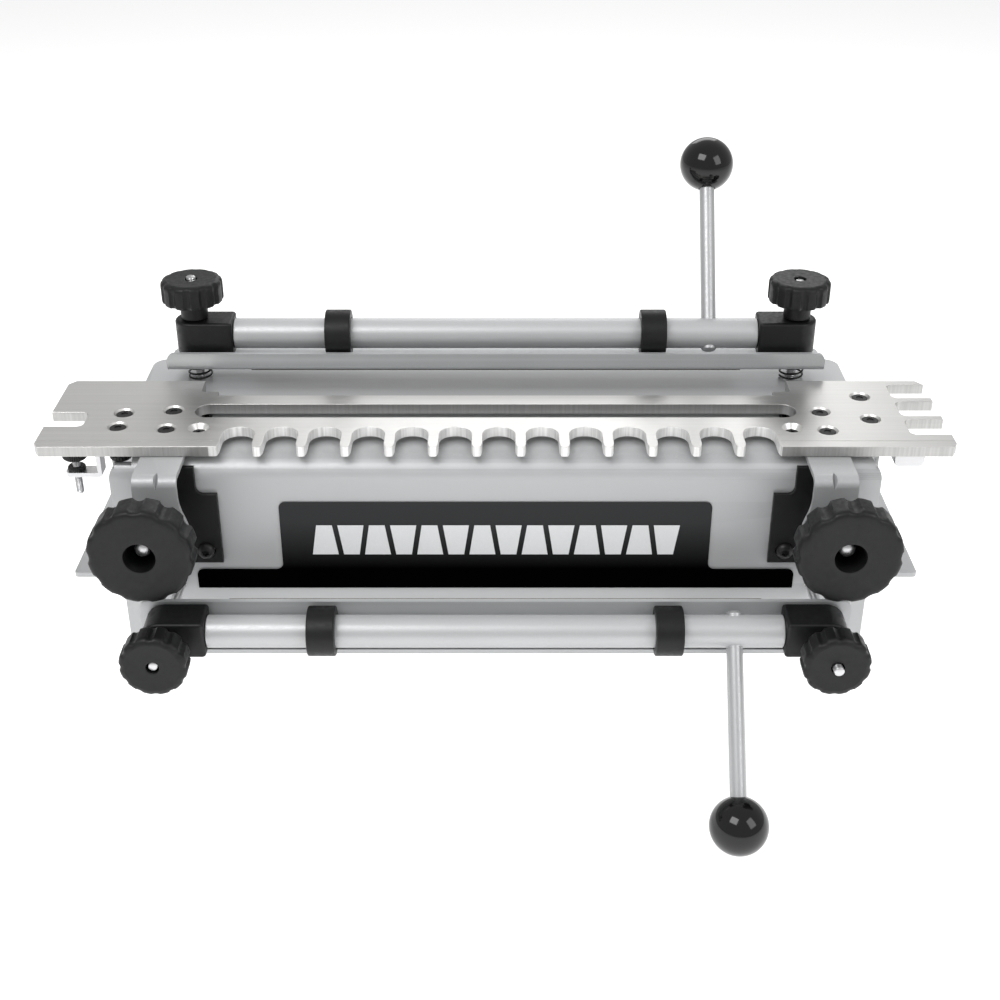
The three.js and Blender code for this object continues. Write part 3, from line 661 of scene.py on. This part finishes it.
def base_cutters(top):
    """The base's holes, the rounded upper corners of its apron and the relief for the depth gauge."""
    half, sheet = BASE_HALF, BASE_SHEET
    corner, corner_back = 12.0, 9.0
    cutters = []
    for name, side in SIDES:
        for x, y in FOOT_HOLES:
            cutters.append(drill(3.5, -5, 8, shift(side * x, y, 0)))
        x, y = TOP_HOLE
        cutters.append(drill(3.6, -9, 9, shift(side * x, y, top)))
        rear = centre(f"rear_{name}_stud")
        cutters.append(drill(SMALL_STUD_HOLE, -9, 9, shift(rear.x, rear.y, top)))
        apron_holes = ((f"front_{name}_stud", SMALL_STUD_HOLE), (f"{name}_large_stud", LARGE_STUD_HOLE))
        for node, radius in apron_holes:
            spot = centre(node)
            cutters.append(drill(radius, -9, 9, shift(spot.x, 0, spot.z) @ Matrix.Rotation(PI / 2, 4, "X")))
        middle, low = half - corner, top - corner
        shape = [(middle, top + 2)] + arc(middle, low, corner, 90, 0, 14)
        shape += [(half + 2, low), (half + 2, top + 2)]
        cutters.append(prism(on_side(side, shape), -corner_back, sheet + 2, UPRIGHT))
    beside, behind, below = GAUGE_ROOM
    x1 = limits("gauge_mount_nut")[1][0] + beside
    y1 = limits("gauge_mount_nut")[1][1] + behind
    z0 = limits("gauge_mount_screw")[0][2] - below
    cutters.append(block(-half - 1, x1, -sheet - 1, y1, z0, top + 1, PLAIN))
    return cutters


def build_top_plugs(look):
    """The dark heads that show through the two ends of the template's slot."""
    top = limits("base")[1][2]
    x, y = TOP_HOLE
    head = [(0, -3), (3.4, -3), (3.4, -0.5), (3.0, 0), (1.6, 0.1), (1.6, -0.9), (0, -0.9)]
    for name, side in SIDES:
        mesh = revolve(head, 40, None, shift(side * x, y, top))
        piece(f"{name}_top_plug", mesh, "base", look)


def build_label(look, ink):
    (_, face, bottom), (wide, rear, top) = limits("front_label")
    thick = rear - face
    place = shift(y=rear) @ UPRIGHT
    half, shoulder, r = 127.5, 17.4, 4.0
    right = [(wide, bottom)] + arc(wide - r, shoulder - r, r, 0, 90, 6)
    right += reversed(arc(half + r, shoulder + r, r, 180, 270, 6))
    right += arc(half - r, top - r, r, 0, 90, 6)
    outline = right + on_side(-1, reversed(right))
    piece("label_plate", plate(outline, (), 0, thick, 0.12, place), "base", look, "front_label")
    build_dovetail_row(ink, thick, place)


def build_dovetail_row(ink, thick, place):
    """A plain row of interlocking dovetails, where a maker would put lettering."""
    count, step, middle, half_high, wide, narrow = 14, 15.6, 38.0, 10.0, 7.74, 4.644
    for i in range(count):
        x = (i - (count - 1) / 2) * step
        end = half_high if i % 2 else -half_high
        tail = [(x - wide, middle + end), (x + wide, middle + end),
                (x + narrow, middle - end), (x - narrow, middle - end)]
        mesh = plate(tail, (), thick + 0.02, thick + 0.16, 0.03, place, 1)
        piece(f"label_dovetail_{i + 1:02d}", mesh, "base", ink)


# ---------------------------------------------------------------- stops
def build_stop(name, side, look, screw_look):
    (x0, face, bottom), (x1, rear, top) = limits(f"{name}_stop")
    foot_in, outer = sorted((abs(x0), abs(x1)))
    leg_in, shoulder, r, chamfer = 174.5, 70.0, 4.0, 6.0
    shape = [(foot_in, bottom), (outer, bottom), (outer, top - chamfer), (outer - chamfer, top)]
    shape += [(leg_in, top)] + arc(leg_in - r, shoulder + r, r, 360, 270, 6) + [(foot_in, shoulder)]
    screw, stud = centre(f"{name}_stop_screw"), centre(f"{name}_large_stud")
    screw_slot = slot_around(screw.x, screw.z, 5.6, 2.3, 2.25)
    stud_slot = slot_around(stud.x, stud.z, 9, 5.8, 5.7)
    place = shift(y=rear) @ UPRIGHT
    body = plate(on_side(side, shape), [screw_slot, stud_slot], 0, rear - face, 0.5, place, 3)
    piece(f"{name}_stop_plate", body, f"{name}_stop", look, f"{name}_stop")
    socket, floor = 2.3, 4.8
    head = [(0, -3), (2, -3), (2, 3.6), (5.2, 3.6), (5.2, 4.3), (4.6, 5.5), (3.4, 6.3), (2.5, 6.6),
            (2.2, 6.6), (2.1, 4.9), (0, 4.7)]

    def star(angle, r, height):
        return r - 0.42 * (0.5 + 0.5 * math.cos(6 * angle)) if height > floor and r < socket else r
    mesh = revolve(head, 48, star, shift(screw.x, -BASE_SHEET, screw.z) @ UPRIGHT)
    piece(f"{name}_stop_pan_screw", mesh, "base", screw_look, f"{name}_stop_screw")


# ---------------------------------------------------------------- template
def finger_edge(front):
    """The notches of the front edge from left to right, with the finger tips between them."""
    count, pitch, offset = 13, 25.4, 2.0
    root, half_root, half_mouth, flare, half_tip = 22.5, 9.6, 10.55, 5.0, 1.2
    flank = [(half_mouth, front + 0.6), (half_root + 0.3, front + flare * 0.6), (half_root, front + flare)]
    points = []
    for i in range(count):
        x = (i - (count - 1) / 2) * pitch + offset
        points += [(x - out, y) for out, y in flank]
        points += arc(x, root - half_root, half_root, 180, 0, 18)
        points += [(x + out, y) for out, y in reversed(flank)]
        if i < count - 1:
            tip = x + pitch / 2
            points += [(tip - half_tip, front), (tip + half_tip, front)]
    return points


def template_outline():
    (_, front, _), (half, back, _) = limits("finger_template")
    r, right_x, left_x = 4, 247, -248
    step, shoulder, tab, relief = 182, 73, 171, 65.9
    points = [(-half, front + 5), (-half + 3, front)] + finger_edge(front)
    points += [(half - 3, front), (half, front + 5)]
    for y0, y1 in ((12.5, 32.1), (37.2, 56.9), (62.3, 81.1)):
        points += [(half, y0)] + arc(right_x, y0 + r, r, 270, 180, 6)
        points += arc(right_x, y1 - r, r, 180, 90, 6) + [(half, y1)]
    points += [(half - 4, back), (step, back), (step, shoulder)]
    points += arc(step - 2, shoulder, 2, 0, -90, 4) + [(tab, shoulder - 2), (tab, relief)]
    points += [(-tab, relief), (-tab, shoulder - 2)] + arc(2 - step, shoulder, 2, 270, 180, 4)
    points += [(-step, back), (-half + 4, back), (-half, back - 5), (-half, 42.2)]
    points += arc(left_x, 38.2, r, 90, 0, 6) + arc(left_x, 27, r, 0, -90, 6) + [(-half, 23)]
    return points


def build_template(look, dark):
    (_, _, under), (_, _, top) = limits("finger_template")
    thick = top - under
    slot = rounded(-181, 181, 35.2, 53.2, 8.95, 12)
    body = plate(template_outline(), [slot], under, top, 0.25)
    seat = [(0, -1.4), (5.1, -1.4), (6.3, 0), (6.3, 1), (0, 1)]
    sink = [(0, -1), (2.4, -1), (2.4, 1.2), (6.3, thick), (6.5, thick + 1), (0, thick + 1)]
    cutters = [revolve(seat, 48, None, shift(x, y, top)) for x, y in SEATS]
    cutters += [revolve(sink, 40, None, shift(x, 21.5, under)) for x in (-175, 175)]
    for _, side in SIDES:
        scribed = sorted((side * 164.0, side * 268.0))
        cutters.append(block(*scribed, 4.1, 4.5, top - 0.12, top + 1, PLAIN))
    piece("template_plate", cut(body, *cutters), "template", look, "finger_template", 30)
    build_seat_plugs(top, dark)
    build_template_screws(under, thick, dark)


def build_seat_plugs(top, look):
    """Plugs with a hexagon socket, one in each seat of the template. Their near-black finish is partly
    painted shade, standing for the shadow seen down the template's holes.
    """
    socket = 2.0
    plug = [(0, -1.35), (4.9, -1.35), (4.9, -0.95), (4.6, -0.7), (socket, -0.7), (socket, -1.2), (0, -1.2)]

    def hexagon(angle, r, height):
        return r / math.cos((angle + PI / 6) % (PI / 3) - PI / 6) if r == socket else r
    for x, y in SEATS:
        mesh = revolve(plug, 48, hexagon, shift(x, y, top))
        side = "left" if x < 0 else "right"
        piece(f"{side}_seat_plug_{int(abs(x))}_{int(y)}", mesh, "template", look)


def build_template_screws(under, thick, look):
    """The countersunk screws that hold the template, with a cross recess."""
    top = thick - 2.7
    recess, floor = 2.2, top - 1.2
    head = [(0, -2.9), (2.1, -2.9), (2.1, 1.6), (3.7, top - 0.15), (3.5, top), (2.0, top),
            (1.7, top - 1.0), (0, top - 1.4)]

    def cross(angle, r, height):
        return r * (1 - 0.5 * abs(math.sin(2 * angle)) ** 0.7) if height > floor and r < recess else r
    for name, _ in SIDES:
        spot = centre(f"{name}_template_screw")
        mesh = revolve(head, 48, cross, shift(spot.x, spot.y, under))
        piece(f"{name}_countersunk_screw", mesh, "template", look, f"{name}_template_screw")


def gusset(x, front, top, half, reach):
    """The inner bulge of a stiffening dent: a wedge across the inside of the bend."""
    leg, flange = front + SHEET, top - SHEET
    shape = [(leg - 0.4, top - reach), (front + reach, flange + 0.4), (leg + 0.8, flange + 0.4),
             (leg - 0.4, flange - 0.8)]
    return plate(shape, (), x - half, x + half, 0.3, ALONG_X, 1)


def dent(x, front, top, half, reach):
    """The outer hollow of the dent: a wedge whose keel runs straight from the leg to the flange."""
    corner = 0.2
    verts = [(x, front - 0.05, top - reach), (x, front + reach, top + 0.05),
             (x - half, front - corner, top + corner), (x + half, front - corner, top + corner)]
    return build_mesh(verts, [(0, 1, 2), (0, 3, 1), (0, 2, 3), (1, 3, 2)])


def build_bracket(name, side, look):
    (_, front, bottom), (_, rear, top) = limits(f"{name}_bracket")
    bend = 6.0
    outline = [(rear, top - SHEET)] + arc(front + bend, top - bend, bend - SHEET, 90, 180, 10)
    outline += [(front + SHEET, bottom), (front, bottom)]
    outline += arc(front + bend, top - bend, bend, 180, 90, 12) + [(rear, top)]
    span = sorted((side * 160, side * 212))
    body = prism(outline, *span, ALONG_X)
    inner, outer = 180.0, 205.0
    leg = [(inner, top + 1), (outer, top + 1), (outer + 1.5, bottom + 4), (outer - 3, bottom),
           (inner - 1, bottom), (inner - 5, bottom + 4), (inner - 5, 56), (inner - 4.6, 61),
           (inner - 3.2, 66), (inner - 1.4, 71), (inner - 0.3, 76), (inner, 80)]
    leg_zone = prism(on_side(side, leg), -10, 34, UPRIGHT)
    flange = sorted((side * 166, side * 208))
    flange_zone = prism(rounded(*flange, 8, rear, 4), 80, top + 1)
    body = combine(body, combine(leg_zone, flange_zone, "UNION"), "INTERSECT")
    stud = centre(f"{name}_large_stud")
    slot = rounded(stud.x - 5.25, stud.x + 5.25, stud.z - TEMPLATE_LIFT - 5.65, stud.z + 5.65, 5.2)
    body = combine(body, gusset(side * DENT_X, front, top, 2.4, 13.5), "UNION")
    body = cut(body, prism(slot, 0, 60, UPRIGHT), dent(side * DENT_X, front, top, 2.8, 7.6))
    piece(f"{name}_bracket_strip", soften(body, 0.4), "template", look, f"{name}_bracket", 30)


def build_large_knob(name, plastic, steel):
    """A large knob with its stud, its positioning nut and its washer."""
    x, _, z = centre(f"{name}_large_stud")
    hole = LARGE_STUD_HOLE

    def seat(node):
        """The place to build a node forward from its rear face, and its thickness."""
        (_, face, _), (_, rear, _) = limits(node)
        return shift(x, rear, z) @ UPRIGHT, rear - face
    place, length = seat(f"{name}_large_knob")
    rim = 18.0
    mesh = knob_mesh(29.7, rim, 13.0, length - rim, bore=8.9, bore_depth=21.0, stud=hole, dip=2.3,
                     place=place)
    piece(f"{name}_large_knob_body", mesh, f"{name}_large_knob", plastic,
          f"{name}_large_knob", 40)
    (_, face, _), (_, rear, _) = limits(f"{name}_large_stud")
    mesh = threaded_rod(4.75, -rear, -face, 1.6, shift(x, 0, z) @ UPRIGHT, 1.4, 0.45, 28)
    piece(f"{name}_large_stud_thread", mesh, "base", steel, f"{name}_large_stud", 60)
    place, thick = seat(f"{name}_positioning_nut")
    ring = [(hole, 0), (13, 0), (14, 1), (14, thick - 1), (13, thick), (hole, thick), (hole, 0)]
    mesh = revolve(ring, 192, knurl(24, 13.5, 0.5), place)
    piece(f"{name}_knurled_nut", mesh, f"{name}_nut", plastic, f"{name}_positioning_nut")
    place, thick = seat(f"{name}_knob_washer")
    ring = [(hole, 0.1), (hole + 0.1, 0), (11.7, 0), (12, 0.3), (12, thick - 0.3), (11.7, thick),
            (hole + 0.1, thick), (hole, thick - 0.1), (hole, 0.1)]
    piece(f"{name}_flat_washer", revolve(ring, 64, None, place), "depth_carriage", steel,
          f"{name}_knob_washer")


# ---------------------------------------------------------------- depth gauge
def build_gauge(steel, plastic):
    screw = centre("gauge_screw")
    at = shift(screw.x, screw.y, 0)
    build_gauge_strip(at, steel)
    build_thumb_screw(at, steel, plastic)
    (_, _, z0), (_, _, z1) = limits("gauge_lock_nut")
    ring = [(2.5, z0), (4.9, z0), (5.3, z0 + 0.5), (5.3, z1 - 0.7), (4.7, z1), (2.5, z1), (2.5, z0)]
    piece("gauge_knurled_nut", revolve(ring, 96, knurl(14, 5.2, KNURL_DEPTH), at),
          "gauge_lock_nut", plastic, "gauge_lock_nut")
    mount = centre("gauge_mount_nut")
    at = shift(mount.x, mount.y, 0)
    (_, _, z0), (_, _, z1) = limits("gauge_mount_nut")
    ring = [(2.2, z0), (5.9, z0), (6.6, z0 + 0.8), (6.6, z1), (2.2, z1), (2.2, z0)]
    piece("gauge_fixing_nut", revolve(ring, 72, knurl(12, 6.5, KNURL_DEPTH), at),
          "template", plastic, "gauge_mount_nut")
    (_, _, z0), (_, _, z1) = limits("gauge_mount_screw")
    mesh = threaded_rod(2.0, z0, z1, 0.8, at, 0.5, 0.25)
    piece("gauge_fixing_screw", mesh, "template", steel, "gauge_mount_screw", 60)


def build_gauge_strip(at, look):
    """The gauge's strip: a flange under the template, a leg and a foot that the thumb screw goes through."""
    (x0, y0, z0), (x1, y1, z1) = limits("gauge_bracket")
    leg_out, r = -233.0, 2.2
    leg_in = leg_out + SHEET
    outline = [(x1, z1)] + arc(leg_out + r, z1 - r, r, 90, 180, 6)
    outline += [(leg_out, z0 + SHEET), (x0, z0 + SHEET), (x0, z0)]
    outline += arc(leg_in - r, z0 + r, r, 270, 360, 6) + [(leg_in, z1 - SHEET), (x1, z1 - SHEET)]
    strip = plate(outline, (), -y1, -y0, 0.2, UPRIGHT)
    strip = combine(strip, prism(rounded(x0, x1 + 0.01, y0, y1, 3.2), z0 - 1, z1 + 1), "INTERSECT")
    hole = revolve([(0, z0 - 1), (2.6, z0 - 1), (2.6, z0 + 6), (0, z0 + 6)], 24, None, at)
    piece("gauge_strip", cut(strip, hole), "template", look, "gauge_bracket")


def build_thumb_screw(at, steel, plastic):
    """The thumb screw: a threaded shank with a head, and a moulded cap around the head."""
    (_, _, tail), (_, _, top) = limits("gauge_screw")
    shank, under = 2.25, top - 5.4
    turn, ridges = thread(0.8, 0.3), knurl(18, 6.9, KNURL_DEPTH)

    def rule(angle, r, height):
        return turn(angle, r, height) if r == shank else ridges(angle, r, height)
    heights = [tail + 0.8 + 0.13 * i for i in range(174)]
    profile = [(0, tail), (1.6, tail)] + [(shank, h) for h in heights if h < under]
    profile += [(shank, under), (6.4, under), (7.3, under + 1), (7.3, top - 1), (6.4, top), (0, top)]
    piece("gauge_thumb_screw", revolve(profile, 72, rule, at), "gauge_screw", steel)
    cap = [(2.3, under - 0.1), (6.5, under - 0.1), (7.45, under + 0.9), (7.45, top - 0.9), (6.5, top + 0.1),
           (2.3, top + 0.1), (2.3, under - 0.1)]
    piece("gauge_thumb_cap", revolve(cap, 72, knurl(18, 7.0, KNURL_DEPTH), at),
          "gauge_screw", plastic, "gauge_screw")


def build_end_tab(look):
    (x0, y0, z0), (x1, y1, z1) = limits("end_tab")
    r = 3.2
    tab = [(x1, z1), (x0, z1)] + arc(x0 + r, z0 + r, r, 180, 270, 6) + arc(x1 - r, z0 + r, r, 270, 360, 6)
    piece("end_tab_plate", plate(tab, (), -y1, -y0, 0.5, UPRIGHT, 3), "template", look, "end_tab")


# ---------------------------------------------------------------- clamps
def build_clamp(name, quarter_turn, lean, lobe, looks):
    """A clamp. Its own Z runs along its studs, and lean and lobe say how its cams stand."""
    axis = centre(f"{name}_tube")
    frame_place = shift(0, axis.y, axis.z) @ Matrix.Rotation(quarter_turn, 4, "X")
    cam_place = frame_place @ Matrix.Rotation(-lean, 4, "X")
    to_local = frame_place.inverted()

    def local_span(node):
        """Lowest and highest height of a node along the clamp's own Z, in millimetres."""
        ends = [(to_local @ corner).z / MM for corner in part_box(node)]
        return min(ends), max(ends)
    for side_name, side in SIDES:
        build_block(name, side_name, side, local_span(f"{name}_left_block"), frame_place, looks["plastic"])
        at = frame_place @ shift(side * CLAMP_STUD_X, 0, 0)
        low, high = local_span(f"{name}_{side_name}_stud")
        piece(f"{name}_{side_name}_stud_thread", threaded_rod(3.0, low, high, 1.27, at, 0.5, 0.4, 20),
              "base", looks["steel"], f"{name}_{side_name}_stud", 60)
        low, high = local_span(f"{name}_{side_name}_knob")
        rim = 14.6
        mesh = knob_mesh(19.2, rim, 8.5, high - low - rim, bore=3.6, bore_depth=9.0, stud=SMALL_STUD_HOLE,
                         dip=1.4, place=at @ shift(z=low))
        piece(f"{name}_{side_name}_knob_body", mesh, f"{name}_{side_name}_knob",
              looks["plastic"], f"{name}_{side_name}_knob", 40)
        if name == "rear":
            build_spring(side_name, at, local_span(f"rear_{side_name}_spring"), looks["wire"])
    build_bar(name, frame_place, local_span(f"{name}_clamp_bar"), looks["bar"])
    (x0, y0, z0), (x1, y1, z1) = limits(f"{name}_grip_strip")
    piece(f"{name}_grip_pad", block(x0, x1, y0, y1, z0, z1, 0.15), f"{name}_bar", looks["grip"],
          f"{name}_grip_strip")
    build_cam(name, cam_place, lobe, looks)


def build_block(name, side_name, side, span, place, look):
    """The block at one end of a clamp, rounded about its stud, with a socket for the tube."""
    inner, round_x, half, r = 166.0, 191.5, 11.5, 2.2
    outline = arc(inner + r, r - half, r, 180, 270, 6) + arc(round_x, 0, half, -90, 90, 20)
    outline += arc(inner + r, half - r, r, 90, 180, 6)
    hole = circle(side * CLAMP_STUD_X, 0, 3.35, 40)
    body = plate(on_side(side, outline), [hole], *span, 1.9, place, 4)
    socket = revolve([(0, inner - 2), (8.3, inner - 2), (8.3, 178.3), (0, 178.3)], 40, None,
                     place @ Matrix.Rotation(side * PI / 2, 4, "Y"))
    piece(f"{name}_{side_name}_block_body", cut(body, socket), f"{name}_carriage", look,
          f"{name}_{side_name}_block", 40)


def build_spring(side_name, at, span, look):
    """A rear spring in two lengths that meet: the lower one on the base, the upper one on the rear carriage.
    """
    low, high = span
    wire, radius, turns = 0.64, 7.25, 3.25
    at = at @ Matrix.Rotation(PI, 4, "Z")
    node = f"rear_{side_name}_spring"
    ends = (low + wire, high - wire)
    split = 0.42
    meet = ends[0] + (ends[1] - ends[0]) * rise(split)
    lower_coil = coil(radius, wire, *ends, turns, 0.0, split, at)
    upper_coil = coil(radius, wire, *ends, turns, split, 1.0, at)
    lower = piece(f"{node}_lower", lower_coil, "base", look, node, 60, level=False)
    upper = piece(f"{node}_upper", upper_coil, "rear_carriage", look, None, 60, level=False)
    halves = ((lower, "rear_clamp_adjust", low, meet - low), (upper, "rear_bar_press", meet, high - meet))
    for half, joint, start, thick in halves:
        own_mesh(half)


def build_bar(name, place, span, look):
    """The clamp bar: a strip with a lip along one edge and holes for the studs."""
    low, lip_top = span
    lip, rear, corner, half, fillet = 19.0, 11.8, 5.0, 207.3, 1.2
    web, bend = low + SHEET, SHEET + fillet
    outline = [(rear, low), (rear, web)] + arc(bend - lip, web + fillet, fillet, 270, 180, 5)
    outline += [(SHEET - lip, lip_top), (-lip, lip_top)] + arc(bend - lip, low + bend, bend, 180, 270, 10)
    body = prism(outline, -half, half, ALONG_X)
    plan = prism(rounded(-half, half, -lip - 20, rear, corner), low - 1, 20)
    face = prism(rounded(-half, half, low - 20, lip_top, corner), -30, 60, UPRIGHT)
    body = combine(combine(body, plan, "INTERSECT"), face, "INTERSECT")
    for _, side in SIDES:
        body = cut(body, drill(4.5, low - 2, web + 2, shift(side * CLAMP_STUD_X, 0, 0)))
    body = soften(body, 0.5, 3)
    body.transform(place)
    piece(f"{name}_bar_strip", body, f"{name}_bar", look, f"{name}_clamp_bar", 30)


def build_cam(name, place, lobe, looks):
    """The tube with its two eccentric collars, and the lever with its ball."""
    r, bore, journal, shoulder, end, chamfer = 9.525, 6.2, 7.95, 165.7, 178.0, 0.4
    half_tube = [(r, shoulder - chamfer), (r - chamfer, shoulder), (journal, shoulder), (journal, end),
                 (bore, end)]
    profile = [(radius, -x) for radius, x in reversed(half_tube)] + half_tube + [(bore, -end)]
    body = f"{name}_cam"
    mesh = revolve(profile, 72, None, place @ Matrix.Rotation(PI / 2, 4, "Y"))
    piece(f"{name}_tube_body", mesh, body, looks["tube"], f"{name}_tube")
    for side_name, _ in SIDES:
        at = place @ shift(centre(f"{name}_{side_name}_collar").x, 0, 0) @ ALONG_X
        ring = plate(circle(lobe * 2.5, 0, 14.5, 72), [circle(0, 0, 9.75, 60)], -8, 8, 0.9, at, 3)
        piece(f"{name}_{side_name}_collar_ring", ring, body, looks["plastic"],
              f"{name}_{side_name}_collar", 40)
    at = place @ shift(centre(f"{name}_lever_rod").x, 0, 0)
    rod, tail, inside, ball, reach = 4.75, 12.0, 106.0, 17.0, 110.0
    profile = [(0, -tail), (1.6, 0.1 - tail), (3.0, 0.45 - tail), (4.1, 1.05 - tail), (rod, 1.9 - tail),
               (rod, inside), (0, inside)]
    piece(f"{name}_lever_bar", revolve(profile, 48, None, at), body, looks["rod"],
          f"{name}_lever_rod")
    mouth = math.degrees(math.asin((rod + 0.6) / ball)) - 90
    outer = arc(0, reach, ball, mouth, 90, 36)
    lip = outer[0][1]
    profile = [(0, lip + 14), (rod + 0.3, lip + 14), (rod + 0.3, lip + 0.4)] + outer[:-1]
    profile.append((0, reach + ball))
    piece(f"{name}_ball_grip", revolve(profile, 72, None, at), body, looks["ball"],
          f"{name}_lever_ball", 60)


def build_jig():
    paint = painted("paint", (0.36, 0.365, 0.37))
    alloy = brushed("aluminium", (0.76, 0.755, 0.74), (12, 2600, 2600), 0.38, 0.07, 0.1, walls=True)
    steel = brushed("steel", (0.60, 0.60, 0.61), (900, 900, 900), 0.32, 0.05, 0.08)
    tube = painted("tube_finish", (0.42, 0.425, 0.43), 0.5, 0.42)
    rod = painted("rod_finish", (0.38, 0.385, 0.39), 0.6, 0.4)
    bar = painted("satin_bar", (0.42, 0.43, 0.435), 0.4, 0.4)
    plastic = moulded("black_plastic", (0.0046, 0.0048, 0.0050))
    ball = polished("ball", (0.003, 0.003, 0.003))
    wire = painted("black_steel", (0.02, 0.02, 0.02), 0.6, 0.4)
    ink = painted("label_print", (0.62, 0.63, 0.64), 0.0, 0.5)
    build_base(paint)
    build_top_plugs(wire)
    build_label(label_with_painted_shade(), ink)
    build_template(alloy, wire)
    build_gauge(steel, plastic)
    build_end_tab(steel)
    for name, side in SIDES:
        build_stop(name, side, plastic, wire)
        build_bracket(name, side, paint)
        build_large_knob(name, plastic, steel)
    looks = {"plastic": plastic, "steel": steel, "bar": bar, "wire": wire, "ball": ball,
             "grip": abrasive(), "rod": rod, "tube": tube}
    build_clamp("rear", 0.0, math.radians(34), -1, looks)
    build_clamp("front", PI / 2, math.radians(-51.5), 1, looks)


make_camera()
make_studio()
build_jig()
